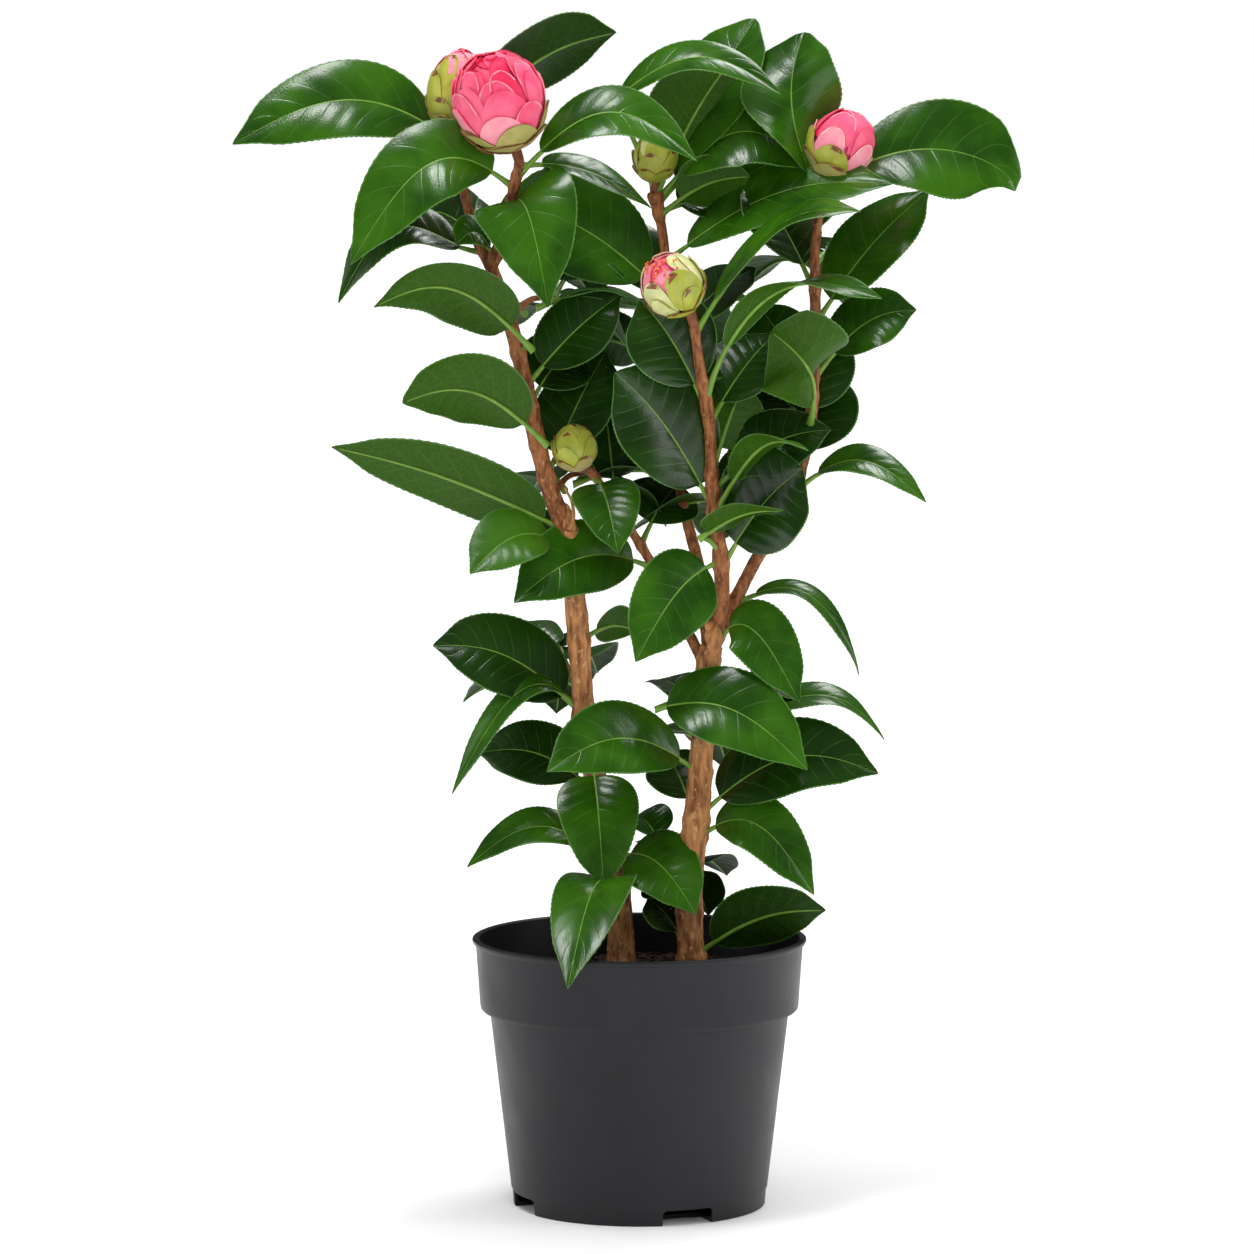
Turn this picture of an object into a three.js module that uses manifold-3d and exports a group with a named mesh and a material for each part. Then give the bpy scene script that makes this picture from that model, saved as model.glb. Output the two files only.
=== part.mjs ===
// Camellia shrub in a round nursery pot. Millimetres, +Z up, +X to the right and +Y to the back.
// The origin is on the pot's axis, at the level that the pot stands on.
import * as THREE from 'three';
import { mergeVertices } from 'three/addons/utils/BufferGeometryUtils.js';
import Module from 'manifold-3d';

const wasm = await Module();
wasm.setup();

// ---- driving dimensions -------------------------------------------------------------------
const gap = 0.3; // kept between any two pieces that would touch
const leafGap = 0.6; // and between two masses of leaves that would cross

const pot = {
  height: 137,
  rimRadius: 85, // outside of the bead round the rim
  beadHeight: 2.6,
  beadProud: 1.6,
  wall: 1.8,
  collarDepth: 36, // the band below the rim
  collarTaper: 2.6,
  shoulder: 4.6, // how far the band stands out from the body
  footRadius: 64.4,
  footHeight: 8.6, // up to the line where the foot steps in
  footStep: 0.8,
  floor: 2.4,
  edge: 0.4, // small rounding at the bead and the foot
  sides: 22,
};
const drain = {
  count: 4,
  firstBearing: -67.5, // degrees from +X, so the first is a little right of the front
  width: 27,
  height: 7.8,
  innerRadius: 47,
  cover: 1.6, // thickness of the little roof over each notch
  coverFoot: 0.5, // height that the roof's sides start at, inside the floor
  holeRadius: 4.5,
  holeInset: 7, // from the notch's inner end to the middle of its hole
  holeSides: 8,
  overrun: 5, // how far a cut runs past the face that it opens
};
const soil = { top: 118, dome: 2.5, domeRadius: 45, domeShare: 0.6, rimDrop: 1 };

const leafShape = {
  thickness: 7,
  stations: 4,
  sides: 4,
  petioleShare: 0.12, // of the length, before the blade widens
  petioleHalf: 2.2,
  endThickness: 0.45, // of the full thickness, at the two ends
  widest: 0.8, // below 1, the blade is widest nearer its foot
  fullness: 0.85, // below 1, its sides are rounder
};
// A mass's surfaces slope, so it is grown by more than the gap that it has to leave.
const growth = { side: 1.5, end: 3 };
const hub = { thickness: 3.6, reach: 5, sides: 5 }; // the knot that joins leaves round a limb
const bloomShape = { sides: 7, rings: 5, neckFoot: 4, neckTip: 5 };
const colours = {
  pot: '#414245', soil: '#241a12', trunk: '#8a6242', shoot: '#5a3826', foliage: '#2f5a24',
};

// ---- limbs --------------------------------------------------------------------------------
// Each limb is [x, y, z] points on its centre line, with its radius at the foot and at the tip.
const limbs = {
  left_stem: {
    line: [[-9, 6, 116.5], [-11, 6, 162], [-22, 5, 216], [-28, 4, 251], [-32, 2, 305], [-37, 0, 345]],
    foot: 6.4, tip: 5.2, flare: 2.2,
  },
  left_upper_shoot: {
    line: [[-36.5, 0, 343], [-45, -2, 365], [-52, -4, 392], [-63, -8, 443], [-75, -10, 480]],
    foot: 4.3, tip: 3.4,
  },
  left_tip_shoot: {
    line: [[-75, -10, 479], [-83, -8, 497], [-90, -4, 524], [-93, -2, 542]],
    foot: 2.5, tip: 2,
  },
  pink_bud_shoot: {
    line: [[-74, -10.5, 478], [-67, -15, 503], [-63, -19, 518], [-60, -21, 530]],
    foot: 2.5, tip: 2,
  },
  right_stem: {
    line: [[27, -4, 116.5], [25.5, -3, 154], [30.5, -2, 215], [34, -1, 270], [36.5, 0, 286]],
    foot: 6.6, tip: 5.8, flare: 2.4,
  },
  leader: {
    line: [[36.4, 0, 284], [41.5, -3, 311], [41, -6, 332], [37, -9, 363], [35, -12, 400],
      [30, -15, 430], [27.5, -17, 449]],
    foot: 3.6, tip: 2.2,
  },
  right_bough: {
    line: [[36, 0, 282], [46, 5, 303], [58, 7, 327], [75, 9, 356], [85, 11, 388], [89, 12, 441],
      [89, 13, 490], [92, 13, 512]],
    foot: 3.3, tip: 2.4,
  },
  middle_bough: {
    line: [[34, 0, 274], [26, 8, 290], [6, 16, 327], [-7, 12, 348], [-17, 7, 364], [-25, 2, 375]],
    foot: 2.8, tip: 1.8,
  },
  back_bough: {
    line: [[35.5, 1, 278], [33, 14, 302], [30, 22, 326], [24, 28, 349], [15, 33, 395], [13, 34, 484], [8, 32, 515]],
    foot: 3, tip: 2.2,
  },
};
const limbSides = 6;
const limbStep = 34; // length of one facet along a limb
const flareHeight = 9; // in which a stem's flare falls to about a third
const flareCrowding = 1.5; // above 1, stations crowd towards the foot, where the flare is

// ---- masses of foliage --------------------------------------------------------------------
// A mass hangs on one limb. Each of its leaves is [height on the limb, [right, back, up] to
// the leaf's tip, width, the way its upper side is turned, rise of its arch]. A turn of 0 faces
// up, plus is towards the front and minus towards the back. `bud` is a bloom at the limb's end:
// [[right, back, up] to its centre, radius across, radius along].
const masses = {
  leaves_far_left: { on: 'left_tip_shoot', leaves: [[540, [-111, -12, 0], 44, 60, 20]],
    bud: [[0, 3, 21], 13, 19] },
  leaves_top_left_back: { on: 'left_tip_shoot', leaves: [[536, [80, 30, 60], 50, -50, 16]] },
  leaves_left_arch: { on: 'pink_bud_shoot', leaves: [[519, [-81, -20, -38], 44, 56, 28]] },
  leaves_top_bridge: { on: 'pink_bud_shoot', bud: [[-10, -5, 29], 23, 25],
    leaves: [[526, [88, -10, 4], 36, 46, 24], [527, [64, 18, -24], 24, 30, 4]] },
  leaves_left_shoulder: { on: 'left_tip_shoot',
    leaves: [[488, [-72, -15, -27], 30, 35, 25], [492, [-38, 42, 8], 32, 42, 8],
      [500, [4, 42, 16], 24, 40, 4]] },
  leaves_left_fold: { on: 'pink_bud_shoot', leaves: [[487, [26, -43, -28], 46, 24, 36]] },
  leaves_left_lobe: { on: 'left_upper_shoot', leaves: [[438, [-71, -14, 25], 46, -48, 24]] },
  leaves_left_inner: { on: 'left_upper_shoot',
    leaves: [[418, [48, 12, 44], 34, 55, 4], [408, [25, 40, 25], 36, 45, 6]] },
  leaves_left_mid: { on: 'left_upper_shoot', leaves: [[388, [-68, -15, 22], 42, -50, 18]] },
  leaves_left_wing: { on: 'left_stem', leaves: [[341, [-118, -10, 43], 34, -60, 6]] },
  leaves_left_knot: { on: 'left_stem',
    leaves: [[336, [-49, -34, -14], 36, 42, 12], [330, [-52, 40, 4], 34, 40, 10]] },
  leaves_centre_left: { on: 'middle_bough', leaves: [[326, [-70, -44, -16], 42, 55, 13]] },
  leaves_middle: { on: 'middle_bough', bud: [[-8, -5, 9], 11.5, 11.5],
    leaves: [[366, [10, -37, -34], 34, 20, 9], [356, [-8, 26, 62], 48, 20, 6],
      [346, [-16, 34, -30], 38, 45, 8]] },
  leaves_centre_large: { on: 'leader', leaves: [[360, [-48, -22, 68], 50, 90, 8]] },
  leaves_centre_upper: { on: 'leader', leaves: [[407, [-34, -14, 55], 42, 80, 6]] },
  leaves_leader_top: { on: 'leader', bud: [[-11, -9, 18], 16, 17],
    leaves: [[446, [82, -14, 59], 28, 10, 22]] },
  leaves_right_ribbon: { on: 'leader', leaves: [[413, [87, -26, 51], 30, -20, 31]] },
  leaves_centre_right: { on: 'leader',
    leaves: [[380, [15, 16, 41], 34, -80, 5], [367, [60, 12, 29], 36, 50, 8],
      [355, [46, -26, 31], 22, -28, 18]] },
  leaves_right_round: { on: 'leader',
    leaves: [[332, [37, -20, 51], 47, 80, 7], [338, [35, -31, 19], 36, -18, 5]] },
  leaves_centre_hanging: { on: 'leader', leaves: [[327, [-43, -32, -49], 42, 61, 10]] },
  leaves_back_left: { on: 'back_bough', leaves: [[466, [-82, -4, 46], 52, 60, 9]] },
  leaves_back_ribbon: { on: 'back_bough', leaves: [[482, [113, -36, 38], 38, 46, 17]] },
  leaves_top_centre: { on: 'back_bough', bud: [[0, -1, 14], 11.5, 12.5],
    leaves: [[513, [52, -18, 60], 46, -50, 16], [514, [51, 24, 87], 48, 26, 4],
      [514, [-19, -8, 48], 20, 40, 4]] },
  leaves_top_shelf: { on: 'back_bough',
    leaves: [[510, [82, -16, 15], 42, 52, 24], [505, [45, -14, 21], 32, -55, 6]] },
  leaves_back_middle: { on: 'back_bough', leaves: [[425, [-50, 16, 12], 34, -50, 8]] },
  leaves_right_top: { on: 'right_bough', bud: [[10, 2, 27], 17, 19],
    leaves: [[510, [-8, 26, 86], 50, 6, 6]] },
  leaves_far_right: { on: 'right_bough', leaves: [[508, [98, -10, 8], 52, 63, 22]] },
  leaves_right_upper: { on: 'right_bough',
    leaves: [[453, [58, 18, 64], 40, 40, 6], [467, [-33, 22, 54], 42, 30, 6]] },
  leaves_right_mid: { on: 'right_bough', leaves: [[425, [52, 2, 32], 36, 50, 10]] },
  leaves_right_inner: { on: 'right_bough',
    leaves: [[400, [-30, -27, 43], 40, -75, 14], [397, [-42, 30, 25], 38, 40, 8],
      [412, [-27, 37, 46], 36, 30, 4]] },
  leaves_right_tip: { on: 'right_bough', leaves: [[365, [66, -16, -6], 26, 27, 18]] },
  leaves_right_arch: { on: 'right_bough', leaves: [[307, [63, -12, -36], 22, 24, 25]] },
  leaves_right_low: { on: 'right_stem',
    leaves: [[279, [45, -28, -16], 34, 44, 27], [262, [92, 7, -24], 24, 22, 17]] },
  leaves_right_front: { on: 'right_stem', leaves: [[258, [51, -38, -31], 42, 55, 17]] },
  leaves_right_skirt: { on: 'right_stem',
    leaves: [[199, [92, -6, 22], 44, 58, 16], [188, [60, -26, -27], 33, 47, 20]] },
  leaves_right_rim: { on: 'right_stem', leaves: [[132, [68, -10, 21], 34, -50, 7]] },
  leaves_left_low: { on: 'left_stem',
    leaves: [[250, [-77, 0, 33], 42, 58, 12], [249, [-67, -22, -38], 24, 28, 27]] },
  leaves_left_shade: { on: 'left_stem',
    leaves: [[213, [-62, 24, 15], 35, 48, 9], [222, [6, -38, -59], 38, 20, 8]] },
  leaves_cross: { on: 'right_stem', leaves: [[224, [-77, -46, 4], 41, 54, 16]] },
  leaves_left_foot: { on: 'left_stem',
    leaves: [[171, [-75, -11, 1], 25, 35, 20], [176, [42, -33, -25], 36, 41, 12]] },
  leaves_over_rim: { on: 'left_stem', leaves: [[158, [-25, -94, -26], 38, 0, 20]] },
};

// Leaves on the side away from the front. Each mass takes a spray of them, fanned out about one
// heading: [limb, height that the lowest leaves it at, length of a leaf, heading from straight
// back in degrees towards the right, share of the full fan].
const backMasses = {
  leaves_behind_left_top: ['left_upper_shoot', 452, 84, 32, 0.85],
  leaves_behind_left_middle: ['left_upper_shoot', 362, 82, 30, 0.9],
  leaves_behind_left_low: ['left_stem', 262, 80, -22, 0.6],
  leaves_behind_foot: ['right_stem', 158, 70, -14, 1],
  leaves_behind_centre: ['back_bough', 446, 84, 4, 1],
  leaves_behind_right_low: ['right_stem', 232, 80, -4, 0.8],
  leaves_behind_right_middle: ['right_bough', 350, 84, -40, 0.7],
  leaves_behind_right_top: ['right_bough', 474, 82, -8, 0.7],
};
const backSpray = { bearings: [-46, 0, 46], step: 7, rises: [-10, 10, 2], width: 38, arch: 14 };

// ---- helpers ------------------------------------------------------------------------------
const toSolid = (geometry) => {
  const bare = geometry.clone();
  for (const name of Object.keys(bare.attributes)) {
    if (name !== 'position') bare.deleteAttribute(name);
  }
  const merged = mergeVertices(bare, 1e-4);
  const corners = [];
  const index = merged.index.array;
  for (let i = 0; i < index.length; i += 3) {
    const [a, b, c] = [index[i], index[i + 1], index[i + 2]];
    if (a !== b && b !== c && c !== a) corners.push(a, b, c);
  }
  return new wasm.Manifold(new wasm.Mesh({
    numProp: 3,
    vertProperties: new Float32Array(merged.attributes.position.array),
    triVerts: new Uint32Array(corners),
  }));
};

const toGeometry = (solid) => {
  const mesh = solid.getMesh();
  const geometry = new THREE.BufferGeometry();
  geometry.setAttribute('position', new THREE.BufferAttribute(mesh.vertProperties, 3));
  geometry.setIndex(new THREE.BufferAttribute(mesh.triVerts, 1));
  return geometry;
};

// The largest of the separate pieces that cutting can leave.
const mainPiece = (solid) => solid.decompose().sort((a, b) => b.volume() - a.volume())[0];

const addMesh = (group, name, geometry, look) => {
  const mesh = new THREE.Mesh(geometry, new THREE.MeshStandardMaterial(look));
  mesh.name = name;
  group.add(mesh);
};

const up = new THREE.Vector3(0, 0, 1);
const towardsFront = new THREE.Vector3(0.2, -1, 0);

// A closed solid of revolution about Z, from [radius, height] points.
const turned = (points, sides) => {
  const geometry = new THREE.LatheGeometry(points.map(([r, z]) => new THREE.Vector2(r, z)), sides);
  return geometry.rotateX(Math.PI / 2);
};

// A block on the pot's floor at a bearing: its middle's radius, and its size out, across and up.
const radialBlock = (bearing, radius, [out, across, high], foot) =>
  new THREE.BoxGeometry(out, across, high)
    .translate(radius, 0, foot + high / 2)
    .rotateZ(THREE.MathUtils.degToRad(bearing));

// ---- pot and soil -------------------------------------------------------------------------
const collarTop = pot.rimRadius - pot.beadProud;
const collarFoot = collarTop - pot.collarTaper;
const bodyTop = collarFoot - pot.shoulder;
const collarZ = pot.height - pot.collarDepth;
const beadZ = pot.height - pot.beadHeight;

const potOutside = [
  [0, 0],
  [pot.footRadius, 0],
  [pot.footRadius + pot.edge, pot.footHeight],
  [pot.footRadius + pot.footStep, pot.footHeight + pot.footStep],
  [bodyTop, collarZ - 2 * pot.edge],
  [collarFoot - 2 * pot.edge, collarZ],
  [collarFoot, collarZ + 4 * pot.edge],
  [collarTop, beadZ],
  [pot.rimRadius, beadZ + pot.edge],
  [pot.rimRadius, pot.height],
];
const potInside = [
  [collarTop - pot.wall, pot.height],
  [collarFoot - pot.wall, collarZ + pot.shoulder],
  [bodyTop - pot.wall, collarZ],
  [pot.footRadius - pot.wall, pot.floor],
  [0, pot.floor],
];
const drainBearings = Array.from({ length: drain.count }, (_, i) =>
  drain.firstBearing + (360 / drain.count) * i);
const outerR = pot.footRadius - pot.edge;

const drainCover = (bearing, grow) => {
  const inner = drain.innerRadius - drain.cover - grow;
  const out = outerR - inner;
  const across = drain.width + 2 * (drain.cover + grow);
  const high = drain.height + drain.cover + grow - drain.coverFoot;
  return radialBlock(bearing, inner + out / 2, [out, across, high], drain.coverFoot);
};

const makePot = () => {
  let solid = toSolid(turned([...potOutside, ...potInside], pot.sides));
  for (const bearing of drainBearings) {
    const out = pot.rimRadius - drain.innerRadius;
    const notch = radialBlock(bearing, drain.innerRadius + out / 2,
      [out, drain.width, drain.height + drain.overrun], -drain.overrun);
    const { holeRadius, holeSides, overrun } = drain;
    const hole = new THREE.CylinderGeometry(holeRadius, holeRadius, 2 * overrun, holeSides)
      .rotateX(Math.PI / 2)
      .translate(drain.innerRadius + drain.holeInset, 0, drain.height)
      .rotateZ(THREE.MathUtils.degToRad(bearing));
    solid = solid.add(toSolid(drainCover(bearing, 0))).subtract(toSolid(notch)).subtract(toSolid(hole));
  }
  return solid;
};

const soilProfile = () => {
  const clear = pot.wall + gap;
  const topR = collarFoot - clear + (collarTop - collarFoot) * ((soil.top - collarZ) / pot.collarDepth);
  return [
    [0, pot.floor + gap],
    [pot.footRadius - clear - gap, pot.floor + gap],
    [bodyTop - clear - gap, collarZ + gap],
    [collarFoot - clear - 2 * gap, collarZ + pot.shoulder + gap],
    [topR - 2 * gap, soil.top - soil.rimDrop],
    [soil.domeRadius, soil.top + soil.dome * soil.domeShare],
    [0, soil.top + soil.dome],
  ];
};

// ---- limbs --------------------------------------------------------------------------------
const curveOf = (limb) => new THREE.CatmullRomCurve3(limb.line.map((p) => new THREE.Vector3(...p)));

const radiusAt = (limb, t, length) => {
  const flare = (limb.flare ?? 0) * Math.exp((-t * length) / flareHeight);
  return THREE.MathUtils.lerp(limb.foot, limb.tip, t) + flare;
};

// A cylinder bent along the limb's centre line, with its taper and, on a stem, its flared foot.
const limbGeometry = (limb, grow = 0) => {
  const curve = curveOf(limb);
  const length = curve.getLength();
  const steps = Math.max(1, Math.round(length / limbStep));
  const geometry = new THREE.CylinderGeometry(1, 1, 1, limb.sides ?? limbSides, steps);
  const place = geometry.attributes.position;
  for (let i = 0; i < place.count; i++) {
    const t = place.getY(i) + 0.5;
    const s = limb.flare ? t ** flareCrowding : t;
    const along = curve.getTangentAt(s);
    const across = new THREE.Vector3(0, 1, 0).cross(along).normalize();
    const deep = along.clone().cross(across);
    const r = radiusAt(limb, s, length) + grow;
    const point = curve.getPointAt(s)
      .addScaledVector(across, place.getX(i) * r)
      .addScaledVector(deep, -place.getZ(i) * r);
    if (t === 0) point.addScaledVector(along, -grow);
    if (t === 1) point.addScaledVector(along, grow);
    if (t === 0 && limb.flare) point.z = limb.line[0][2] - grow;
    place.setXYZ(i, point.x, point.y, point.z);
  }
  return geometry;
};

const pointAtHeight = (limb, height) => {
  const curve = curveOf(limb);
  let [low, high] = [0, 1];
  for (let i = 0; i < 24; i++) {
    const middle = (low + high) / 2;
    if (curve.getPoint(middle).z < height) low = middle;
    else high = middle;
  }
  return curve.getPoint((low + high) / 2);
};

// ---- foliage ------------------------------------------------------------------------------
// One leaf of a mass: a sphere drawn out from just off the limb to the leaf's tip, flattened
// across the way its upper side is turned, and bowed up along its length.
const leafSolid = (limb, [height, reach, width, turn, arch], grow) => {
  const base = pointAtHeight(limb, height);
  const span = new THREE.Vector3(...reach);
  const along = span.clone().normalize();
  const side = along.clone().cross(up).normalize();
  if (side.dot(towardsFront) < 0) side.negate();
  const level = side.clone().cross(along).normalize();
  if (level.z < 0) level.negate();
  const angle = THREE.MathUtils.degToRad(turn);
  const face = level.clone().multiplyScalar(Math.cos(angle)).addScaledVector(side, Math.sin(angle));
  const across = face.clone().cross(along).normalize();
  const start = (limb.foot + hub.thickness / 2) / span.length();
  const midrib = (t) => base.clone().addScaledVector(span, t)
    .addScaledVector(up, arch * Math.sin((Math.PI * (t - start)) / (1 - start)));
  const geometry = new THREE.SphereGeometry(1, leafShape.sides, leafShape.stations);
  const place = geometry.attributes.position;
  for (let i = 0; i < place.count; i++) {
    const t = THREE.MathUtils.lerp(start, 1, (1 - place.getY(i)) / 2);
    const point = midrib(t);
    if (Math.abs(place.getY(i)) > 0.999) {
      // The two ends of the blade, which grow along the midrib.
      const inward = midrib(t > 0.5 ? t - 0.1 : t + 0.1);
      point.addScaledVector(point.clone().sub(inward).normalize(), growth.end * grow);
    } else {
      const ring = Math.hypot(place.getX(i), place.getZ(i));
      const blade = Math.max(0, (t - leafShape.petioleShare) / (1 - leafShape.petioleShare));
      const outline = Math.sin(Math.PI * blade ** leafShape.widest) ** leafShape.fullness;
      const halfWidth = Math.max(leafShape.petioleHalf, (width / 2) * outline);
      const share = THREE.MathUtils.lerp(leafShape.endThickness, 1, outline);
      const halfThick = (leafShape.thickness / 2) * share;
      const more = growth.side * grow;
      point.addScaledVector(across, (place.getX(i) / ring) * (halfWidth + more))
        .addScaledVector(face, (place.getZ(i) / ring) * (halfThick + more));
    }
    place.setXYZ(i, point.x, point.y, point.z);
  }
  return toSolid(geometry);
};

// A short thick sleeve round the limb, which joins the leaves of one mass.
const knot = (limb, low, high, grow) => {
  const line = [low, (low + high) / 2, high].map((z) => pointAtHeight(limb, z).toArray());
  const radius = limb.foot + hub.thickness;
  return toSolid(limbGeometry({ line, foot: radius, tip: radius, sides: hub.sides }, grow));
};

const bloomSolid = (limb, [shift, wide, long], grow) => {
  const end = new THREE.Vector3(...limb.line.at(-1));
  const reach = new THREE.Vector3(...shift);
  const centre = end.clone().add(reach);
  const tilt = new THREE.Quaternion().setFromUnitVectors(
    new THREE.Vector3(0, 1, 0), reach.clone().normalize());
  const bloom = new THREE.SphereGeometry(1, bloomShape.sides, bloomShape.rings)
    .scale(wide + grow, long + grow, wide + grow)
    .applyQuaternion(tilt)
    .translate(centre.x, centre.y, centre.z);
  const line = [end, centre].map((p) => p.toArray());
  const neck = { line, foot: bloomShape.neckFoot, tip: bloomShape.neckTip, sides: hub.sides };
  return toSolid(bloom).add(toSolid(limbGeometry(neck, grow)));
};

const massSolid = (mass, grow = 0) => {
  const limb = limbs[mass.on];
  const pieces = mass.leaves.map((leaf) => leafSolid(limb, leaf, grow));
  if (mass.bud) pieces.push(bloomSolid(limb, mass.bud, grow));
  if (pieces.length > 1) {
    const heights = mass.leaves.map((leaf) => leaf[0]);
    const top = mass.bud ? limb.line.at(-1)[2] : Math.max(...heights) + hub.reach;
    pieces.push(knot(limb, Math.min(...heights) - hub.reach, top, grow));
  }
  return wasm.Manifold.union(pieces);
};

// Leaves fanned out about one heading, each a little higher on the limb than the last.
const sprayBehind = ([on, height, length, heading, spread]) => ({
  on,
  leaves: backSpray.bearings.map((bearing, i) => {
    const swing = THREE.MathUtils.degToRad(heading + spread * bearing);
    const reach = [length * Math.sin(swing), length * Math.cos(swing), backSpray.rises[i]];
    return [height + backSpray.step * i, reach, backSpray.width, 0, backSpray.arch];
  }),
});

// ---- assembly -----------------------------------------------------------------------------
const shrub = new THREE.Group();

addMesh(shrub, 'pot', toGeometry(makePot()), { color: colours.pot, roughness: 0.45, metalness: 0 });

const limbClearances = Object.values(limbs).map((limb) => toSolid(limbGeometry(limb, gap)));
let ground = toSolid(turned(soilProfile(), pot.sides));
for (const bearing of drainBearings) ground = ground.subtract(toSolid(drainCover(bearing, gap)));
for (const clearance of limbClearances) ground = ground.subtract(clearance);
addMesh(shrub, 'soil', toGeometry(ground), { color: colours.soil, roughness: 1, metalness: 0 });

let placed = wasm.Manifold.union(limbClearances);
let limbsSoFar = null;
for (const [name, limb] of Object.entries(limbs)) {
  let solid = toSolid(limbGeometry(limb));
  if (limbsSoFar) solid = mainPiece(solid.subtract(limbsSoFar));
  const clearance = toSolid(limbGeometry(limb, gap));
  limbsSoFar = limbsSoFar ? limbsSoFar.add(clearance) : clearance;
  const colour = limb.flare ? colours.trunk : colours.shoot;
  addMesh(shrub, name, toGeometry(solid), { color: colour, roughness: 0.85, metalness: 0 });
}

const potSpace = toSolid(turned([
  [0, -1], [pot.footRadius, -1], [bodyTop + gap, collarZ], [pot.rimRadius + gap, collarZ],
  [pot.rimRadius + gap, pot.height + gap], [collarTop - pot.wall - gap, pot.height + gap],
  [collarFoot - pot.wall - 1, soil.top + soil.dome + gap], [0, soil.top + soil.dome + gap],
], pot.sides));
placed = placed.add(potSpace);

const everyMass = { ...masses };
for (const [name, place] of Object.entries(backMasses)) everyMass[name] = sprayBehind(place);
for (const [name, mass] of Object.entries(everyMass)) {
  const solid = mainPiece(massSolid(mass).subtract(placed));
  placed = placed.add(massSolid(mass, leafGap));
  addMesh(shrub, name, toGeometry(solid), { color: colours.foliage, roughness: 0.4, metalness: 0 });
}

export default shrub;
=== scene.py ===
import math
import random
import bmesh
import bpy
import numpy as np
from mathutils import Matrix, Vector, noise


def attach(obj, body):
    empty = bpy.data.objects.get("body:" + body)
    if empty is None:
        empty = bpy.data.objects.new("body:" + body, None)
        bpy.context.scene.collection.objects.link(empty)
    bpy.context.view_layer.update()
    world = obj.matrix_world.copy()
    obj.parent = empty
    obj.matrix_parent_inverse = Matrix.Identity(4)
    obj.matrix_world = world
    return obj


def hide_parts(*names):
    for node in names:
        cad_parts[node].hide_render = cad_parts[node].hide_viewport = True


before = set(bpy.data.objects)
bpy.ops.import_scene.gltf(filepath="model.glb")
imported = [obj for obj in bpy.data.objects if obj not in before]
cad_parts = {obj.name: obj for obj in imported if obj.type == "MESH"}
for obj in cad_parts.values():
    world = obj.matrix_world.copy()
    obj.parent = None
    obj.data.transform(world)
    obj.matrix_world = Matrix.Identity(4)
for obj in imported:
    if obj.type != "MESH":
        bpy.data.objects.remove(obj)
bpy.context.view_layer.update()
mm = 0.001
up = np.array([0.0, 0.0, 1.0])
print("frame loaded")


# Small tools for colours, nodes and meshes.

def linear(code):
    parts = [int(code[i:i + 2], 16) / 255 for i in (1, 3, 5)]
    return [c / 12.92 if c <= 0.04045 else ((c + 0.055) / 1.055) ** 2.4 for c in parts] + [1]


def addNode(tree, kind, settings=None, links=None):
    node = tree.nodes.new(kind)
    for name, value in (settings or {}).items():
        if isinstance(name, int) or name in node.inputs:
            node.inputs[name].default_value = value
        else:
            setattr(node, name, value)
    for name, source in (links or {}).items():
        tree.links.new(source, node.inputs[name])
    return node


def newMaterial(name, colour, roughness, specular=0.5):
    material = bpy.data.materials.new(name)
    material.use_nodes = True
    tree = material.node_tree
    shader = tree.nodes["Principled BSDF"]
    shader.inputs["Base Color"].default_value = linear(colour)
    shader.inputs["Roughness"].default_value = roughness
    shader.inputs["Specular IOR Level"].default_value = specular
    return material, tree, shader


def mathNode(tree, operation, first, second=None):
    node = addNode(tree, "ShaderNodeMath", {"operation": operation})
    for i, value in enumerate((first, second)):
        if value is None:
            continue
        if isinstance(value, (int, float)):
            node.inputs[i].default_value = value
        else:
            tree.links.new(value, node.inputs[i])
    return node.outputs[0]


def noiseNode(tree, size, detail=3, stretch=(1, 1, 1)):
    # size is the width of one feature in millimetres
    coords = addNode(tree, "ShaderNodeTexCoord").outputs["Object"]
    scaled = addNode(tree, "ShaderNodeMapping", {"Scale": stretch}, {"Vector": coords})
    return addNode(tree, "ShaderNodeTexNoise", {"Scale": 1000 / size, "Detail": detail},
                   {"Vector": scaled.outputs[0]}).outputs[0]


def ramp(tree, source, low, high):
    return addNode(tree, "ShaderNodeMapRange", {"From Min": low, "From Max": high, "clamp": True},
                   {"Value": source}).outputs[0]


def blendColour(tree, factor, first, second):
    node = addNode(tree, "ShaderNodeMix", {"data_type": "RGBA"})
    for index, value in ((0, factor), (6, first), (7, second)):
        if isinstance(value, str):
            node.inputs[index].default_value = linear(value)
        elif isinstance(value, (int, float)):
            node.inputs[index].default_value = value
        else:
            tree.links.new(value, node.inputs[index])
    return node.outputs[2]


def bump(tree, shader, height, depth, strength=1.0):
    # depth is in millimetres
    node = addNode(tree, "ShaderNodeBump", {"Strength": strength, "Distance": depth * mm},
                   {"Height": height})
    tree.links.new(node.outputs[0], shader.inputs["Normal"])


def placed(name, data):
    piece = bpy.data.objects.new(name, data)
    bpy.context.scene.collection.objects.link(piece)
    return piece


def meshFrom(name, points, faces, materials, which=None, layout=None, sharp=None):
    mesh = bpy.data.meshes.new(name)
    mesh.from_pydata(np.asarray(points).tolist(), [], faces)
    for material in materials:
        mesh.materials.append(material)
    if which is not None:
        mesh.polygons.foreach_set("material_index", np.asarray(which, dtype=np.int32))
    if layout is not None:
        loops = np.zeros(len(mesh.loops), dtype=np.int32)
        mesh.loops.foreach_get("vertex_index", loops)
        mesh.uv_layers.new(name="leaf").data.foreach_set("uv", np.asarray(layout)[loops].ravel())
    mesh.polygons.foreach_set("use_smooth", np.ones(len(mesh.polygons), dtype=bool))
    if sharp:
        mesh.set_sharp_from_angle(angle=math.radians(sharp))
    mesh.update()
    return placed(name, mesh)


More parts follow.
